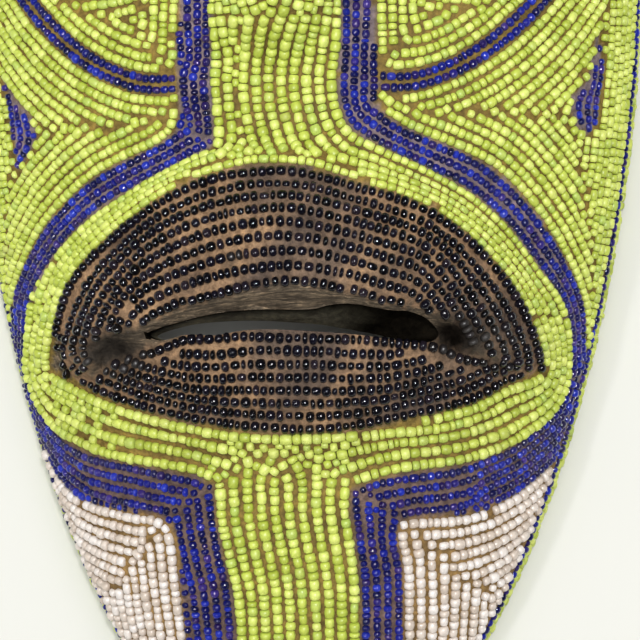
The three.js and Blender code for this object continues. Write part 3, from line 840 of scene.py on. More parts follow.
def rows(mask, tree, pitch, last=99, shift=0.5, far=None, count=None, soft=1.3, widen=1.0):
    """The rows of one field, at shift and one more and so on pitches from the guide.

    With a far guide the field has count rows between the two guides, within the limits of pitch.
    """
    mask = grown(mask)
    near = reach(mask, tree)
    if far is not None:
        pitch = np.clip((near + reach(mask, far)) / count, *pitch)
    level = (near + unevenness - shift * pitch) / (pitch * widen)
    return level_lines(level, pitch * widen, last, soft)


def counted_rows(near, pitch, shift):
    """Rows between two guides, whose pitch makes a whole number of them fit."""
    return level_lines((near + unevenness * CALM) / pitch - shift, pitch)


def whole(count):
    """A number of rows drawn towards the nearest whole one."""
    for _ in range(2):
        count = count - np.sin(2 * math.pi * count) / (2 * math.pi)
    return count


def is_code(code):
    return codes_grid == code


# Laying the fields: the rows that follow an edge before those that fill what is left

# From which ends of the mouth the outline counts as the upper or the lower edge of the lips
UPPER_EDGE_Y = -74
UPPER_EDGE_LEFT = (-56, -77.5)
LOWER_EDGE_START = (-58, -75.5)
# Rows of each lip, where the row at its inner edge runs, the least and most pitch, and how much
# wider the rows lie in the left and right corners of the mouth
UPPER_ROWS, UPPER_SPAN, UPPER_PITCH, UPPER_CORNERS = 9, (-42, 43), (3.1, 3.8), (0.85, 0.4)
LOWER_ROWS, LOWER_SPAN, LOWER_PITCH, LOWER_CORNERS = 8, (-32, 47), (2.95, 3.55), (0.35, 0.15)
CORNER_X = (32, 56)
# How far from its outline the first row of a lip and of a jaw patch lies, in pitches
OUTER_SHIFT = 0.42
BROW_PITCH = 3.05
BLUE_PITCH = 2.4
# Where the rows of a band change from following its sides to following the chin's
BAND_CHANGE_Y = -76
LOW_BAND_PITCH = (2.2, 3.05)
LOW_BAND_ROWS = 4
# More rows towards the outer end of each low band, and between which places they come in
LOW_BAND_MORE = {-1: (1, 50, 58), 1: (2, 44, 50)}
# Where the outer edge of each dart parts from its inner one
DART_MIDDLE = {-1: 72.6, 1: 77}
DART_ROWS = 3
DART_PITCH = (2.1, 2.9)
# The two rows below the eye and the edges of their stroke, beside its line, and where they start
UNDER_EYE_ROWS = (-0.2, 2.5)
UNDER_EYE_EDGES = (-1.5, 3.8)
BAND_REACH = 24.8
LID_PITCH = 2.9
JAW_PITCH = 3.2
CHEEK_PITCH = 2.68
CHEEK_SOFTNESS = 2.2
FOREHEAD_PITCH = 3.1
# The row of the face just above the mouth and the one just below it: how far they reach
FOOT_Y, FOOT_HALF, FOOT_PITCH = -40, 19, 2.6
UNDER_LIP_Y, UNDER_LIP_HALF, UNDER_LIP_PITCH = -84, 18, 3.1
FACE_PITCH = 3.12
# Rows of lime round each side of the mouth, and where the count changes below it
RING_ROWS = {-1: 4, 1: 5}
RING_CHANGE = (15, 45)
RING_TOP, RING_LOW = 12, -60
RING_SHIFT = 0.52
# Up to which count rows are drawn to a whole number, and where the fixed count of a side takes over
FEW_ROWS = (6.5, 9)
PHILTRUM_HALF = (14, 26)
# Where the inner edges of the blue bands turn down to the chin
CORNERS = {-1: (-18.2, -103.0), 1: (16.2, -104.0)}
TURN_POWER = 3.5
TURN_TOP = -80
TURN_OVERLAP = 4
CHIN_COLUMNS = 10
CHIN_PITCH = (3.1, 3.45)
# Where the rows below the mouth turn into the columns of the chin
CHIN_DEPTH = (88, 103)
CHIN_HALF = 30
# Holes of the upper lip stay open in its left corner between these two places
OPEN_CORNER = (-57.5, -47)
# Above this place, or this near the middle, smaller beads fill what the lime ones leave
SMALL_FILL_Y, SMALL_FILL_HALF = -62, 22
# The rows of the rim: height, kind of bead and piece
RIM_POINTS, RIM_GUIDE_POINTS = 2400, 3600
RIM_ROWS = (
    (2.5, RIM_LIME, "lime_beads_rim"), (5.5, RIM_LIME, "lime_beads_rim"),
    (8.9, BLUE_GLASS, "blue_beads_rim"),
)


def lay_lip(work, code, line, by_mouth, count, span, limits, wider):
    """The rows of a lip, counted between its inner edge and the mouth's outline."""
    edge = guide_tree(dense(line))
    left, right = (smoothstep(side * grid_x, *CORNER_X) for side in (-1, 1))
    widen = 1 + wider[0] * left + wider[1] * right
    by_edge = (grid_x > span[0]) & (grid_x < span[1])
    work.lay_field(code, BLACK, edge, limits, 1.0, by_edge, last=0, far=by_mouth, count=count)
    options = {"shift": OUTER_SHIFT, "far": edge, "count": count, "widen": widen}
    work.lay_field(code, BLACK, by_mouth, limits, 0.6, **options)


def lay_lips(work, mouth):
    x, y = mouth[:, 0], mouth[:, 1]
    above = (y > UPPER_EDGE_Y) | ((x < UPPER_EDGE_LEFT[0]) & (y > UPPER_EDGE_LEFT[1]))
    below = (y < LOWER_EDGE_START[1]) & (x > LOWER_EDGE_START[0])
    lay_lip(work, UPPER_LIP, front_line, guide_tree(mouth[above]),
            UPPER_ROWS, UPPER_SPAN, UPPER_PITCH, UPPER_CORNERS)
    lay_lip(work, LOWER_LIP, lower_line, guide_tree(mouth[below]),
            LOWER_ROWS, LOWER_SPAN, LOWER_PITCH, LOWER_CORNERS)


def band_edge(side, way, line):
    """An edge of the blue stroke beside the nose, from its top down, and on along the band."""
    nose = side_of(nose_lines[side], way * side * STROKE_HALF)
    return dense(np.vstack([nose[nose[:, 1] > 0][::-1], line]))


def brow_edge(side, way):
    return dense(side_of(brow_lines[side], way * side * STROKE_HALF))


def under_eye(side, offsets):
    return [dense(side_of(eye_lines[side], offset * side)) for offset in offsets]


def lay_brow(work, side, code):
    near_brow = distance_to(brow_lines[side], grid_x, grid_y) < STROKE_HALF + 0.5
    work.lay_field(code, BLUE_GLASS, guide_tree(brow_edge(side, -1)), BROW_PITCH, 0.5, near_brow)


def lay_band(work, side, code, inside, outside, jaw):
    """The band from the nose round the mouth, then its part below that runs to the chin."""
    upper = grown(is_code(code) & (grid_y > BAND_CHANGE_Y - 1))
    near = reach(upper, inside)
    total = near + reach(upper, outside)
    lines = counted_rows(near, total / whole(total / BLUE_PITCH), 0.5)
    work.lay(lines, BLUE_GLASS, code, 0.6, lambda x, y: y > BAND_CHANGE_Y)
    more, low, high = LOW_BAND_MORE[side]
    count = LOW_BAND_ROWS + more * smoothstep(side * grid_x, low, high)
    lower = grid_y < BAND_CHANGE_Y + 1
    work.lay_field(code, BLUE_GLASS, inside, LOW_BAND_PITCH, 0.7, lower, far=jaw, count=count)


def lay_dart(work, side, code):
    dart = dart_lines[side]
    outer = dart[:, 0] * side > DART_MIDDLE[side]
    near, far = (guide_tree(lifted(on_surface(dart[part]))) for part in (outer, ~outer))
    work.lay_field(code, BLUE_GLASS, near, DART_PITCH, far=far, count=DART_ROWS)


def lay_side(work, side, at, rim):
    """Bands, dart, eye, jaw and cheek of one side."""
    inside = guide_tree(band_edge(side, 1, inner_lines[side]))
    outside = band_edge(side, -1, outer_lines[side])
    jaw = guide_tree(dense(jaw_lines[side]))
    lid = dense(lid_outlines[side], closed=True)
    lay_brow(work, side, BLUE + at)
    lay_band(work, side, BLUE + at, inside, guide_tree(outside), jaw)
    lay_dart(work, side, DART + at)
    work.lay([(line, False) for line in under_eye(side, UNDER_EYE_ROWS)], BLUE_GLASS,
             node=FIELD_NAMES[BLUE + at], region=lambda x, y: np.abs(x - CENTRE_X) > BAND_REACH)
    work.lay_field(LID + at, BLACK, guide_tree(lid), LID_PITCH)
    work.lay_field(JAW + at, WHITE, jaw, JAW_PITCH, 0.6, shift=OUTER_SHIFT)
    edges = guide_tree(outside, brow_edge(side, -1), lid, rim, *under_eye(side, UNDER_EYE_EDGES))
    work.lay_field(CHEEK + at, CHEEK_LIME, edges, CHEEK_PITCH, soft=CHEEK_SOFTNESS)


def left_of_seam(x, y):
    (_, top), (_, low) = PHILTRUM_SEAM[0], PHILTRUM_SEAM[-1]
    return is_inside(np.array([(-60, top), *PHILTRUM_SEAM, (-60, low)], float), x, y)


def settled(count):
    """Rows between two edges, drawn towards the nearest whole number where they are few."""
    return lerp(whole(count), count, smoothstep(count, *FEW_ROWS))


def lay_ring(work, mouth, guides):
    """The face between the bands and the mouth, in rows that change over at the seam."""
    ring = is_code(FACE) & (grid_y < RING_TOP + 1)
    top = grown(ring & (grid_y > RING_LOW - 1))
    to_mouth = reach(ring, mouth)
    free = 1 - smoothstep(from_middle, *PHILTRUM_HALF)
    left_side = left_of_seam(grid_x, grid_y)
    for side, there in ((1, ~left_side), (-1, left_side)):
        near = reach(top & grown(there), guide_tree(guides[side]))
        total = near + to_mouth
        count = lerp(RING_ROWS[side], settled(total / FACE_PITCH), free)
        lines = counted_rows(near, total / count, RING_SHIFT)

        def region(x, y, on_left=side < 0):
            return (y > RING_LOW) & (y < RING_TOP) & (left_of_seam(x, y) == on_left)

        work.lay(lines, LIME, FACE, 0.4, region)


def turned_reach(mask, guide, side):
    """The distance from a band's edge, where the rows turn sharply round its corner."""
    x, y = CORNERS[side]
    ring, column = guide[guide[:, 1] > y], guide[guide[:, 1] <= y]
    onward = dense(np.array([(x, y), (CENTRE_X - side * TURN_OVERLAP, y)], float))
    upward = dense(np.array([(x, y), (x, TURN_TOP)], float))
    plain = reach(mask, guide_tree(guide))
    across = reach(mask, guide_tree(ring, onward))
    along = reach(mask, guide_tree(column, upward))
    beside = ((grid_x - x) * side < 0) & (grid_y > y) & (grid_y < TURN_TOP)
    turned = (across**TURN_POWER + along**TURN_POWER) ** (1 / TURN_POWER)
    return np.where(beside, turned, plain)


def lay_nose_and_chin(work, mouth, guides):
    """The face above the ring and below the mouth, in rows that turn into columns on the chin."""
    below = grid_y < RING_LOW + 1
    rest = grown(is_code(FACE) & ((grid_y > RING_TOP - 1) | below))
    away = [turned_reach(rest, guides[side], side) for side in (-1, 1)]
    near = np.minimum(*away)
    count = lerp(RING_ROWS[-1], RING_ROWS[1], smoothstep(grid_x, *RING_CHANGE))
    ring_pitch = np.where(below, (near + reach(rest & below, mouth)) / count, FACE_PITCH)
    chin_pitch = np.clip((away[0] + away[1]) / CHIN_COLUMNS, *CHIN_PITCH)
    chin = smoothstep(-grid_y, *CHIN_DEPTH) * (np.abs(grid_x) < CHIN_HALF)
    pitch = lerp(ring_pitch, chin_pitch, chin)
    work.lay(level_lines((near + unevenness) / pitch - 0.5, pitch), LIME, FACE, 0.5)


def lay_face(work, mouth):
    mouth = guide_tree(mouth)
    foot = (grid_y > FOOT_Y) & (from_middle < FOOT_HALF)
    work.lay_field(FACE, FOOT_LIME, mouth, FOOT_PITCH, 0.5, foot, last=0)
    under_lip = (grid_y < UNDER_LIP_Y) & (from_middle < UNDER_LIP_HALF)
    work.lay_field(FACE, LIME, mouth, UNDER_LIP_PITCH, 0.5, under_lip, last=0)
    guides = {side: band_edge(side, 1, inner_lines[side]) for side in (-1, 1)}
    lay_ring(work, mouth, guides)
    lay_nose_and_chin(work, mouth, guides)


def lay_forehead(work, rim):
    guide = guide_tree(rim, *(brow_edge(side, 1) for side in (-1, 1)))
    work.lay_field(FOREHEAD, LIME, guide, FOREHEAD_PITCH)


def lay_rim(work):
    """The rows round the rim: two of lime and above them one of blue."""
    turn = np.linspace(0, 2 * math.pi, RIM_POINTS, endpoint=False)
    for height, kind, node in RIM_ROWS:
        line, n = wall_points(turn, height)
        line = lifted(line, n)
        tree = guide_tree(line)

        def wall_normal(centre, tree=tree, n=n):
            return np.array([n[tree.find(at)[1]] for at in centre])

        work.lay([(line, True)], kind, node=node, tight=RIM_TIGHT, normal_of=wall_normal)


def fill_holes(work):
    kinds = {UPPER_LIP: BLACK, LOWER_LIP: BLACK, FACE: LIME, FOREHEAD: LIME}
    for at in (LEFT, RIGHT):
        kinds |= {BLUE + at: BLUE_GLASS, DART + at: BLUE_GLASS, JAW + at: WHITE}
        kinds |= {LID + at: BLACK, CHEEK + at: CHEEK_LIME}
    low, high = OPEN_CORNER
    work.fill(kinds, ~is_code(UPPER_LIP) | (grid_x > high) | (grid_x < low))
    work.fill({FACE: FOOT_LIME}, (grid_y > SMALL_FILL_Y) | (from_middle < SMALL_FILL_HALF))
    work.fill({BLUE + LEFT: SMALL_BLUE, BLUE + RIGHT: SMALL_BLUE})


def lay_all():
    work = Beadwork()
    mouth = dense(mouth_line, closed=True)
    turn = np.linspace(0, 2 * math.pi, RIM_GUIDE_POINTS)
    fall = np.full(turn.shape, math.acos(FIELD_LOW / DOME_HEIGHT))
    rim = lifted(np.stack(dome_points(turn, fall), 1))
    lay_lips(work, mouth)
    for side, at in BOTH:
        lay_side(work, side, at, rim)
    lay_face(work, mouth)
    lay_forehead(work, rim)
    lay_rim(work)
    fill_holes(work)
    return work.beads


# Meshes


def new_mesh(name, points, loops, starts):
    mesh = bpy.data.meshes.new(name)
    mesh.vertices.add(len(points))
    mesh.vertices.foreach_set("co", (np.asarray(points) * 0.001).astype(np.float32).ravel())
    mesh.loops.add(len(loops))
    mesh.loops.foreach_set("vertex_index", np.asarray(loops, np.int32))
    mesh.polygons.add(len(starts))
    mesh.polygons.foreach_set("loop_start", np.asarray(starts, np.int32))
    mesh.update(calc_edges=True)
    mesh.polygons.foreach_set("use_smooth", np.ones(len(starts), bool))
    mesh.validate()
    obj = bpy.data.objects.new(name, mesh)
    bpy.context.scene.collection.objects.link(obj)
    return obj


def paint(obj, name, colours, domain="POINT"):
    layer = obj.data.attributes.new(name, "FLOAT_COLOR", domain)
    values = np.ones((len(colours), 4), np.float32)
    values[:, : colours.shape[1]] = colours
    layer.data.foreach_set("color", values.ravel())


def read(items, name, width, kind=np.float32):
    """One value of each item of a mesh, such as a place, as an array."""
    values = np.empty(len(items) * width, kind)
    items.foreach_get(name, values)
    return values.reshape(-1, width) if width > 1 else values


SIDES = 8
RINGS = 5
MOST_TRIANGLES = 190000


def tube(around_it, rings, flipped=False):
    """The faces of a closed tube with flat ends: all their corners, and where each starts."""
    here = np.arange(around_it)
    after = (here + 1) % around_it
    sides = np.vstack([
        np.stack([low + here, low + after, low + around_it + after, low + around_it + here], 1)
        for low in range(0, (rings - 1) * around_it, around_it)
    ])
    ends = np.stack([here[::-1], (rings - 1) * around_it + here])
    if flipped:
        sides, ends = sides[:, ::-1], ends[:, ::-1]
    starts = [np.arange(len(sides)) * 4, len(sides) * 4 + np.arange(2) * around_it]
    return np.concatenate([sides.ravel(), ends.ravel()]), np.concatenate(starts)


def blob(x, y, middle, half):
    """A soft round patch of the plan, 1 in its middle."""
    return np.exp(-(((x - middle[0]) / half[0]) ** 2 + ((y - middle[1]) / half[1]) ** 2))


# Patches of dirt: middle and half size
LEFT_DIRT = ((-44, -70), (9, 5.5))
RIGHT_DIRT = ((45, -66.5), (6.5, 5))
WIDE_DIRT = ((53, -69), (11, 10))
LOW_DIRT_Y, LOW_DIRT_HALF = -93, 8
CORNER_DIRT, WIDE_DIRT_SHARE, SPOT_DIRT, LOW_DIRT = 1.3, 0.4, 0.6, 0.15
# Painted shade in the corners of the mouth, near-black patches at both ends of the slit: strength, middle
# and half size
SHADED_PITS = ((1.5, (42, -65.7), (4.5, 3.6)), (0.7, (-41, -69), (4, 3)))


def soil(points):
    """How dirty a place is: the corners of the mouth, and a few spots elsewhere."""
    x, y = points[..., 0], points[..., 1]
    patchy = 1 + 0.35 * quick_waves(points)
    corners = np.maximum(blob(x, y, *LEFT_DIRT), blob(x, y, *RIGHT_DIRT)) * CORNER_DIRT
    spots = smoothstep(quick_waves(points), 1.6, 2.6) * SPOT_DIRT
    low_ring = LOW_DIRT * np.exp(-(((y - LOW_DIRT_Y) / LOW_DIRT_HALF) ** 2))
    patches = np.maximum(corners, WIDE_DIRT_SHARE * blob(x, y, *WIDE_DIRT)) * patchy
    return np.clip(patches + spots + low_ring, 0, 1)


def bead_piece(name, node, beads):
    kind, count = beads[0].kind, len(beads)
    centre, along, across, length, radius, up = map(np.array, list(zip(*beads))[:6])
    tilt = RNG.normal(0, 0.07, (count, 2))
    along = unit(along + across * tilt[:, :1] + up * tilt[:, 1:])
    across = unit(np.cross(up, along))
    up = np.cross(along, across)
    end = RNG.uniform(0.94, 1.04, count)
    turn = ((np.arange(SIDES) + 0.5) / SIDES * 2 * math.pi)[None, :, None]
    circle = np.cos(turn) * across[:, None, :] + np.sin(turn) * up[:, None, :]
    rings = [
        centre[:, None, :] + (along * (length * step)[:, None])[:, None, :]
        + circle * (radius * (width * end if width < 1 else width))[:, None, None]
        for step, width in kind.profile
    ]
    loops, starts = tube(SIDES, RINGS)
    each = np.arange(count)[:, None]
    loops, starts = SIDES * RINGS * each + loops, len(loops) * each + starts
    obj = new_mesh(name, np.stack(rings, 1).reshape(-1, 3), loops.ravel(), starts.ravel())
    tone, hue = RNG.random(count), RNG.random(count)
    dust = np.clip(soil(centre) * RNG.uniform(0.4, 1.4, count), 0, 1)
    paint(obj, "bead", np.repeat(np.stack([tone, hue, dust], 1), SIDES * RINGS, 0))
    obj.data.materials.append(materials[kind.slot])
    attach(obj, "root")
    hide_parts(node)


def bead_pieces(beads):
    """A piece for the beads of each field, or some where they have many triangles."""
    groups = {}
    for bead in beads:
        groups.setdefault(bead.node, []).append(bead)
    most = MOST_TRIANGLES // (2 * SIDES * (RINGS - 1) + 2 * (SIDES - 2))
    for node, group in sorted(groups.items()):
        group.sort(key=lambda bead: -bead.centre[1])
        parts = math.ceil(len(group) / most)
        size = math.ceil(len(group) / parts)
        for i in range(parts):
            name = node.replace("_beads_", "_glass_") + (f"_{i + 1}" if parts > 1 else "")
            bead_piece(name, node, group[i * size : (i + 1) * size])


# The wood

WOOD_GRID = (155, 273)
# Heights of the rings of points down the outer and the inner side of the wall
OUTER_RINGS = (8.5, 6.0, 3.5, 1.2, 0.0)
INNER_RINGS = (6.0, 3.0, 0.0)
# The paste: its thickness, the height on the wall below which it thins, and how far from the
# slit it ends
GROUND = 1.1
GROUND_FOOT = 3
SLIT_CLEAR = 3
CUT_LOW, CUT_HIGH = -20.0, 120.0
fine_waves = Waves(4.5, 24)
carve_waves = Waves(16, 20)
BARE_TINT = np.array([0.165, 0.125, 0.085])
LIP_TINT = np.array([0.15, 0.12, 0.088])
# Painted shade and painted light on the slit's walls: near-black at the front edge, grey like light seen
# through at the back edge, and dark again towards the slit's right end
SLIT_SHADE_TINT = np.array([0.008, 0.0065, 0.0045])
SLIT_LIGHT_TINT = np.array([0.36, 0.34, 0.24])
SLIT_DIM = (4.0, 22.0)
SLIT_DEPTH = 12
SLIT_REACH = 0.15
# How far below the front a place counts as the back
BEHIND = 2.5
RIM_OUTLINE_POINTS = 240
SOIL_TINT = np.array([0.042, 0.036, 0.031])
# Painted shade, near-black, for the corners of the mouth at the slit's ends
PIT_SHADE_TINT = np.array([0.007, 0.0055, 0.0045])
# Paste between the black beads, in brown and in sandy places, mixed also by painted light that pales it
# towards the left
LIP_GROUNDS = np.array([[0.15, 0.105, 0.08], [0.34, 0.215, 0.125]])
SANDIER_Y = (64, 70)
BLACK_GROUND = (0.235, 0.165, 0.115)
BLUE_GROUND = (0.22, 0.175, 0.195)
LIME_GROUND = (0.23, 0.16, 0.04)
WHITE_GROUND = (0.28, 0.18, 0.07)
CHIN_BLUE_GROUND = (0.16, 0.11, 0.095)
CHIN_BLUE_Y = -90


def ring_keys(columns, rows):
    """The border of a grid, once round it."""
    index = np.arange(columns * rows).reshape(columns, rows)
    return np.concatenate([index[:-1, 0], index[-1, :-1], index[:0:-1, -1], index[0, :0:-1]])


def grid_quads(columns, rows, flipped):
    index = np.arange(columns * rows).reshape(columns, rows)
    quads = np.stack([index[:-1, :-1], index[1:, :-1], index[1:, 1:], index[:-1, 1:]], -1)
    quads = quads.reshape(-1, 4)
    return quads[:, ::-1] if flipped else quads


def strip_quads(upper, lower, flipped=False):
    quads = np.stack([np.roll(upper, -1), upper, lower, np.roll(lower, -1)], 1)
    return quads[:, ::-1] if flipped else quads


def pasted_front():
    """The front of the wood with the paste on it, which is left out where the wood is bare."""
    front, n = front_grid(*WOOD_GRID)
    x, y = front[..., 0], front[..., 1]
    bare = fields(x, y) == BARE
    by_slit = np.minimum(1, distance_to(slit_line, x, y, True) / SLIT_CLEAR)
    cover = np.where(bare, 0.0, GROUND)
    for _ in range(2):
        cover[1:-1, 1:-1] = (around(cover) + 2 * cover[1:-1, 1:-1]) / 6
    cover = cover + np.where(bare, 0.14, 0.1) * fine_waves(front) - 1.2 * (1 - by_slit) ** 2
    return front + n * cover[..., None]


def carved_hollow():
    hollow, n = front_grid(*WOOD_GRID, inset=WALL, share=0.5)
    marks = 0.35 * carve_waves(hollow) + 0.1 * fine_waves(hollow)
    return hollow + n * marks[..., None]


def build_wood():
    """The carved wood with the paste that holds the beads, closed over the hollow behind."""
    points = [pasted_front().reshape(-1, 3), carved_hollow().reshape(-1, 3)]
    many = len(points[0])
    quads = [grid_quads(*WOOD_GRID, False), grid_quads(*WOOD_GRID, True) + many]
    border = ring_keys(*WOOD_GRID)
    turn = square_to_disc(*WOOD_GRID)[0].ravel()[border]
    ends = []
    for upper, heights, inset, ground in (
        (border, OUTER_RINGS, 0.0, GROUND), (border + many, INNER_RINGS, WALL, 0.0),
    ):
        for height in heights:
            lower = sum(map(len, points)) + np.arange(len(turn))
            line, n = wall_points(turn, height, inset)
            points.append(line + n * (ground * min(1, height / GROUND_FOOT)))
            quads.append(strip_quads(upper, lower, inset > 0))
            upper = lower
        ends.append(upper)
    quads = np.vstack([*quads, strip_quads(*ends)])
    wood = new_mesh("carved_wood", np.vstack(points), quads.ravel(), np.arange(len(quads)) * 4)
    cut(wood, [
        (CUT_LOW, slit_back_line),
        (bowed(slit_back_line[:, 0], SLIT_BACK_Z), slit_back_line),
        (bowed(slit_line[:, 0], SLIT_FRONT_Z), slit_line),
        (CUT_HIGH, slit_line),
    ])
    for line in eye_slits.values():
        cut(wood, [(CUT_LOW, line), (CUT_HIGH, line)])
    wood.data.set_sharp_from_angle(angle=math.radians(50))
    paint_wood(wood)
    wood.data.materials.clear()
    wood.data.materials.append(materials["wood"])
    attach(wood, "root")
    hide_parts("wooden_mask")


def bowed(x, height):
    """A height of the slit's walls, which is less towards the slit's ends."""
    return height - SLIT_BOW * smoothstep(np.abs(x), *SLIT_BOW_SPAN)


def ground_tint(at, in_mouth, dirt):
    """The tone of the paste or the bare wood at each place of the front, with painted light on the lips'
    paste.
    """
    codes = fields(at[:, 0], at[:, 1])
    tint = np.zeros((len(at), 3))
    tint[:] = LIME_GROUND
    # Sandy patches of paste at random, plus painted light: paler towards the left, darker towards the right
    sandy_and_lit = 0.5 + 0.5 * slow_waves(at) + 0.25 * quick_waves(at) - at[:, 0] / 160
    sandy_and_lit = np.clip(sandy_and_lit + 0.3 * smoothstep(-at[:, 1], *SANDIER_Y), 0, 1)[:, None]
    lips = (codes == UPPER_LIP) | (codes == LOWER_LIP)
    tint[lips] = lerp(*LIP_GROUNDS, sandy_and_lit)[lips]
    for start, ground in ((BLUE, BLUE_GROUND), (DART, BLUE_GROUND), (JAW, WHITE_GROUND),
                          (LID, BLACK_GROUND)):
        tint[(codes == start + LEFT) | (codes == start + RIGHT)] = ground
    blue = (codes == BLUE + LEFT) | (codes == BLUE + RIGHT)
    tint[blue & (at[:, 1] < CHIN_BLUE_Y)] = CHIN_BLUE_GROUND
    tint[codes == BARE] = BARE_TINT
    tint[(codes == BARE) & in_mouth] = LIP_TINT
    return lerp(tint, SOIL_TINT, (dirt * in_mouth)[:, None]), (codes == BARE) & in_mouth


def slit_corners(mesh):
    """Which corners of the mesh belong to the walls of the slit."""
    x, y, z = (read(mesh.polygons, "center", 3).astype(float) * 1000).T
    upright = np.abs(read(mesh.polygons, "normal", 3)[:, 2]) < 0.5
    inner = is_inside(slit_line, x, y) | upright & (distance_to(slit_line, x, y, True) < SLIT_REACH)
    counts = read(mesh.polygons, "loop_total", 1, np.int32)
    return np.repeat(inner & (z > SLIT_BACK_Z - SLIT_DEPTH), counts)


def paint_wood(wood):
    """Tints every corner: paste below the beads, bare wood behind, painted shade and light in the slit.

    The fourth number is the share of grain, which only the bare wood of the lips shows.
    """
    at = read(wood.data.vertices, "co", 3).astype(float) * 1000
    x, y, z = at.T
    dirt = soil(at)
    tint, bare_lip = ground_tint(at, is_inside(mouth_line, x, y), dirt)
    tint[z < RIM_TOP - 1] = LIME_GROUND
    turn = np.linspace(0, 2 * math.pi, RIM_OUTLINE_POINTS, endpoint=False)
    rim_line = np.stack(dome_points(turn, np.full(turn.shape, RIM_FALL)), 1)[:, :2]
    inside_rim = is_inside(rim_line, x, y) & (distance_to(rim_line, x, y, True) > WALL / 2)
    behind = (z < surface_height(x, y) - BEHIND) & ((z > RIM_TOP - 1) | inside_rim) | (z < 1)
    tint[behind] = BARE_TINT
    # Painted shade: near-black patches at both ends of the slit
    pit_shade = np.clip(sum(strength * blob(x, y, *place) for strength, *place in SHADED_PITS), 0, 1)
    tint = np.where(behind[:, None], tint, lerp(tint, PIT_SHADE_TINT, pit_shade[:, None]))
    grain = (bare_lip & ~behind) * (1 - 0.8 * dirt)
    corner = read(wood.data.loops, "vertex_index", 1, np.int32)
    colours = np.column_stack([tint, grain])[corner]
    wall = slit_corners(wood.data)
    # Painted shade and light down the slit's walls: near-black at the front edge to grey at the back, back
    # to dark towards the right end
    slit_light = np.clip((bowed(x, SLIT_FRONT_Z) - z) / (SLIT_FRONT_Z - SLIT_BACK_Z), 0, 1)
    slit_light = slit_light * (1 - smoothstep(x, *SLIT_DIM))
    colours[wall, :3] = lerp(SLIT_SHADE_TINT, SLIT_LIGHT_TINT, slit_light[corner][:, None])[wall]
    colours[wall, 3] = 0
    paint(wood, "tint", colours, "CORNER")


def cut(wood, levels):
    """Cuts a closed shape through the wood, given as outlines of as many points, rising."""
    line = levels[-1][1]
    points = [np.column_stack([line, np.broadcast_to(z, len(line))]) for z, line in levels]
    area = np.sum(line[:, 0] * np.roll(line[:, 1], -1) - np.roll(line[:, 0], -1) * line[:, 1])
    tool = new_mesh("slit_tool", np.vstack(points), *tube(len(line), len(levels), area < 0))
    step = wood.modifiers.new("slit", "BOOLEAN")
    step.operation = "DIFFERENCE"
    step.solver = "MANIFOLD"
    step.object = tool
    graph = bpy.context.evaluated_depsgraph_get()
    result = bpy.data.meshes.new_from_object(wood.evaluated_get(graph))
    wood.modifiers.clear()
    wood.data = result
    bpy.data.objects.remove(tool)


# Materials


def give(tree, target, value):
    """Links a value to an input, or sets it there."""
    if isinstance(value, bpy.types.NodeSocket):
        tree.links.new(value, target)
    else:
        target.default_value = value


def add_node(tree, kind, settings=(), values=(), **inputs):
    """A node with its settings, its first inputs by their order and others by their names."""
    node = tree.nodes.new(kind)
    for key, value in dict(settings).items():
        setattr(node, key, value)
    for target, value in zip(node.inputs, values):
        give(tree, target, value)
    for key, value in inputs.items():
        give(tree, node.inputs[key.replace("_", " ")], value)
    return node


def blank(name):
    """An empty material with its shader, whose inputs are then given by name."""
    material = bpy.data.materials.new(name)
    material.use_nodes = True
    tree = material.node_tree
    tree.nodes.clear()
    shader = add_node(tree, "ShaderNodeBsdfPrincipled")
    output = add_node(tree, "ShaderNodeOutputMaterial")
    tree.links.new(shader.outputs[0], output.inputs[0])

    def shade(**inputs):
        for key, value in inputs.items():
            give(tree, shader.inputs[key.replace("_", " ")], value)

    return material, tree, shade


def noise(tree, scale, detail=3.0, roughness=0.55, squeeze=None):
    place = add_node(tree, "ShaderNodeTexCoord").outputs["Object"]
    if squeeze:
        place = add_node(tree, "ShaderNodeMapping", Vector=place, Scale=squeeze).outputs[0]
    node = add_node(tree, "ShaderNodeTexNoise", Vector=place, Scale=scale, Detail=detail,
                    Roughness=roughness)
    return node.outputs["Fac"]


def ramp(tree, factor, stops):
    node = add_node(tree, "ShaderNodeValToRGB", Fac=factor)
    elements = node.color_ramp.elements
    while len(elements) < len(stops):
        elements.new(0.5)
    for element, (at, colour) in zip(elements, stops):
        element.position = at
        element.color = (*colour, 1)
    return node.outputs["Color"]


def mix(tree, factor, one, two, blend="MIX"):
    node = add_node(tree, "ShaderNodeMix", {"data_type": "RGBA", "blend_type": blend})
    give(tree, node.inputs[0], factor)
    for target, value in ((node.inputs[6], one), (node.inputs[7], two)):
        give(tree, target, (*value, 1) if isinstance(value, tuple) else value)
    return node.outputs[2]


def multiplied(tree, one, two):
    return mix(tree, 1.0, one, two, "MULTIPLY")


def math_node(tree, operation, *values, clamp=False):
    settings = {"operation": operation, "use_clamp": clamp}
    return add_node(tree, "ShaderNodeMath", settings, values).outputs[0]


def attribute(tree, name):
    return add_node(tree, "ShaderNodeAttribute", {"attribute_name": name})


def between(tree, value, low, high):
    return add_node(tree, "ShaderNodeMapRange", Value=value, To_Min=low, To_Max=high).outputs[0]


def bump(tree, strength, distance, height, **below):
    node = add_node(tree, "ShaderNodeBump", Strength=strength, Distance=distance, Height=height,
                    **below)
    return node.outputs[0]


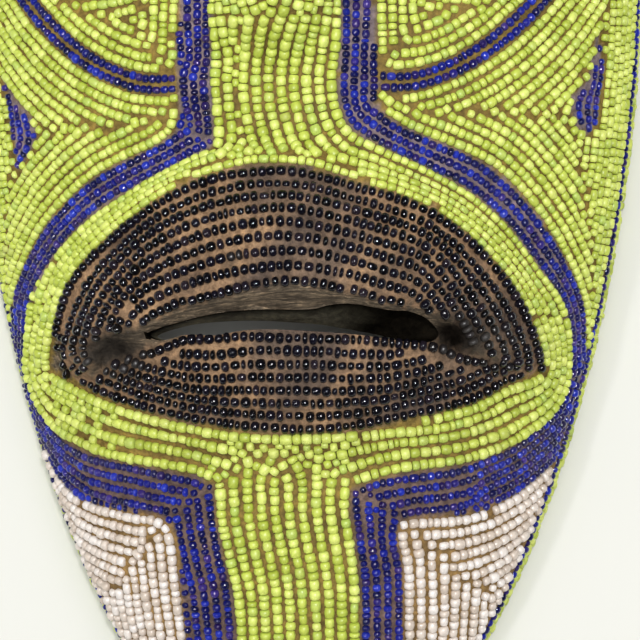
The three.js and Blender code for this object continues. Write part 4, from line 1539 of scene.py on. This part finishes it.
def glass_material(name, stops, rough, dirt, coat, hue_stops=None, index=1.52):
    """Opaque glass whose tone changes from bead to bead, with dust in places."""
    material, tree, shade = blank(name)
    layer = attribute(tree, "bead").outputs["Color"]
    tone, hue, dust = add_node(tree, "ShaderNodeSeparateColor", Color=layer).outputs
    colour = ramp(tree, tone, stops)
    if hue_stops:
        often = ramp(tree, hue, [(0.0, (0, 0, 0)), (0.72, (0, 0, 0)), (0.9, (1, 1, 1))])
        colour = mix(tree, often, colour, ramp(tree, tone, hue_stops))
    speck, patch = noise(tree, 900.0, 2.0), noise(tree, 320.0, 3.0)
    specks = ramp(tree, speck, [(0.3, (0.86, 0.86, 0.86)), (0.7, (1.06, 1.06, 1.06))])
    dust = math_node(tree, "MULTIPLY", dust, patch)
    dust = math_node(tree, "MULTIPLY", dust, 1.7, clamp=True)
    gloss = between(tree, speck, rough * 0.7, rough * 1.5)
    shade(
        Base_Color=mix(tree, dust, multiplied(tree, colour, specks), dirt),
        Roughness=math_node(tree, "MULTIPLY_ADD", dust, 0.55, gloss, clamp=True),
        IOR=index,
        Coat_Weight=coat,
        Coat_Roughness=0.08,
        Normal=bump(tree, 0.12, 0.0002, patch),
    )
    return material


def wood_material():
    """Carved wood and brown paste in each place's tint, with grain, and painted light on crumbs and shade
    in hollows.
    """
    material, tree, shade = blank("wood")
    layer = attribute(tree, "tint")
    tint, grain = layer.outputs["Color"], layer.outputs["Alpha"]
    broad = noise(tree, 90.0, 4.0)
    fine = noise(tree, 650.0, 5.0, 0.65)
    crumbs = noise(tree, 1500.0, 3.0, 0.6)
    fibres = noise(tree, 170.0, 6.0, 0.7, squeeze=(1.0, 7.0, 7.0))
    clouds = ramp(tree, broad, [(0.3, (0.66, 0.64, 0.62)), (0.7, (1.25, 1.22, 1.15))])
    colour = multiplied(tree, tint, clouds)
    # Painted light and shade on the paste's bump: the same noise that raises it makes it lighter, and where
    # it sinks, darker
    spots = ramp(tree, fine, [
        (0.35, (0.45, 0.42, 0.4)), (0.55, (1, 1, 1)), (0.72, (1.6, 1.5, 1.35)),
    ])
    streaks = ramp(tree, fibres, [
        (0.34, (0.22, 0.21, 0.2)), (0.5, (0.9, 0.88, 0.86)),
        (0.58, (1.5, 1.45, 1.35)), (0.66, (3.2, 2.95, 2.6)),
    ])
    spotted_and_lit = mix(tree, 0.85, colour, spots, "MULTIPLY")
    grained = multiplied(tree, mix(tree, 0.35, colour, spots, "MULTIPLY"), streaks)
    relief_of_paste = bump(tree, 0.6, 0.0006, fine)
    relief_of_paste = bump(tree, 0.35, 0.0003, crumbs, Normal=relief_of_paste)
    tone = add_node(tree, "ShaderNodeSeparateColor", Color=tint).outputs["Red"]
    shade(
        Base_Color=mix(tree, grain, spotted_and_lit, grained),
        Roughness=between(tree, fine, 0.55, 0.9),
        Normal=bump(tree, grain, 0.0005, fibres, Normal=relief_of_paste),
        Specular_IOR_Level=math_node(tree, "MINIMUM", tone, 0.15),
    )
    return material


def lime_glass():
    stops = [(0.0, (0.44, 0.53, 0.062)), (0.5, (0.60, 0.693, 0.11)), (1.0, (0.74, 0.82, 0.2))]
    hues = [(0.0, (0.46, 0.60, 0.11)), (1.0, (0.68, 0.74, 0.16))]
    return glass_material("lime_glass", stops, 0.38, (0.16, 0.13, 0.04), 0.0, hues, 1.45)


def blue_glass():
    stops = [
        (0.0, (0.005, 0.006, 0.045)), (0.45, (0.008, 0.010, 0.14)),
        (0.8, (0.010, 0.018, 0.28)), (1.0, (0.02, 0.04, 0.46)),
    ]
    hues = [(0.0, (0.015, 0.008, 0.07)), (1.0, (0.05, 0.03, 0.22))]
    return glass_material("blue_glass", stops, 0.09, (0.12, 0.09, 0.09), 0.3, hues)


def black_glass():
    stops = [(0.0, (0.003, 0.003, 0.004)), (0.8, (0.007, 0.006, 0.012)), (1.0, (0.02, 0.014, 0.02))]
    return glass_material("black_glass", stops, 0.1, (0.022, 0.017, 0.014), 0.0)


def white_glass():
    stops = [(0.0, (0.62, 0.52, 0.43)), (0.5, (0.77, 0.68, 0.60)), (1.0, (0.85, 0.79, 0.74))]
    return glass_material("white_glass", stops, 0.3, (0.35, 0.25, 0.15), 0.15)


# The stage

CAMERA_TILT = math.radians(5.5)
CAMERA_TARGET = (8.9, -62.0, 45.0)
CAMERA_DISTANCE = 560.0
CAMERA_LENS = 126.0
FLOOR_HALF = 1500.0
SKY_STRENGTH = 0.5
# What the lamps over the mask are turned to, in metres
LAMP_TARGET = (0.0, -0.05, 0.04)
HOLLOW_TARGET = (-0.005, -0.07, 0.0)


def make_camera():
    back = Vector((math.sin(CAMERA_TILT), 0, math.cos(CAMERA_TILT)))
    right = Vector((math.cos(CAMERA_TILT), 0, -math.sin(CAMERA_TILT)))
    data = bpy.data.cameras.new("camera")
    data.lens = CAMERA_LENS
    data.sensor_width = 36
    data.clip_start = 0.01
    camera = bpy.data.objects.new("camera", data)
    place = (Vector(CAMERA_TARGET) + back * CAMERA_DISTANCE) * 0.001
    turn = Matrix((right, Vector((0, 1, 0)), back)).transposed().to_4x4()
    camera.matrix_world = Matrix.Translation(place) @ turn
    bpy.context.scene.collection.objects.link(camera)
    bpy.context.scene.camera = camera


def make_light(name, place, size, power, target=LAMP_TARGET):
    data = bpy.data.lights.new(name, "AREA")
    data.shape = "DISK"
    data.size = size
    data.energy = power
    light = bpy.data.objects.new(name, data)
    light.location = place
    away = Vector(place) - Vector(target)
    light.rotation_euler = away.to_track_quat("Z", "Y").to_euler()
    bpy.context.scene.collection.objects.link(light)
    return light


def make_lights():
    make_light("front", (0.16, 0.1, 0.95), 0.1, 3.8)
    make_light("side", (-0.5, -0.34, 0.8), 0.1, 1.6)
    make_light("soft", (0.1, 0.5, 1.5), 1.6, 9.0).visible_glossy = False
    make_light("hollow", (-0.025, -0.085, 0.02), 0.03, 0.001, HOLLOW_TARGET)
    make_light("glint", (0.12, -0.1, 0.85), 0.09, 8.0).visible_diffuse = False
    world = bpy.data.worlds.new("world")
    world.use_nodes = True
    sky = world.node_tree.nodes["Background"].inputs
    sky["Color"].default_value = (1, 1, 1, 1)
    sky["Strength"].default_value = SKY_STRENGTH
    world.cycles_visibility.glossy = False
    bpy.context.scene.world = world


def make_floor():
    corners = [(x * FLOOR_HALF, y * FLOOR_HALF, 0) for x, y in ((-1, -1), (1, -1), (1, 1), (-1, 1))]
    floor = new_mesh("floor", np.array(corners), [0, 1, 2, 3], [0])
    material, tree, shade = blank("floor")
    stops = [(0.3, (0.735, 0.735, 0.685)), (0.7, (0.755, 0.755, 0.705))]
    shade(Base_Color=ramp(tree, noise(tree, 4.0), stops), Roughness=0.8, Specular_IOR_Level=0.0)
    floor.data.materials.append(material)


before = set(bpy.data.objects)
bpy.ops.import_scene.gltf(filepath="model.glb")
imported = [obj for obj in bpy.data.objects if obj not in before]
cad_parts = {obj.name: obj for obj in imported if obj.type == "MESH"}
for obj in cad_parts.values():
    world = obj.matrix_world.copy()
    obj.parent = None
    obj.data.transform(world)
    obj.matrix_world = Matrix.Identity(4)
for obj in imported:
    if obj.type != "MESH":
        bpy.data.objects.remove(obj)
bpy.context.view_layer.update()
materials = {
    "lime_glass": lime_glass(),
    "blue_glass": blue_glass(),
    "black_glass": black_glass(),
    "white_glass": white_glass(),
    "wood": wood_material(),
}
make_camera()
make_floor()
make_lights()
bpy.context.scene.view_settings.view_transform = "Standard"
build_wood()
bead_pieces(lay_all())
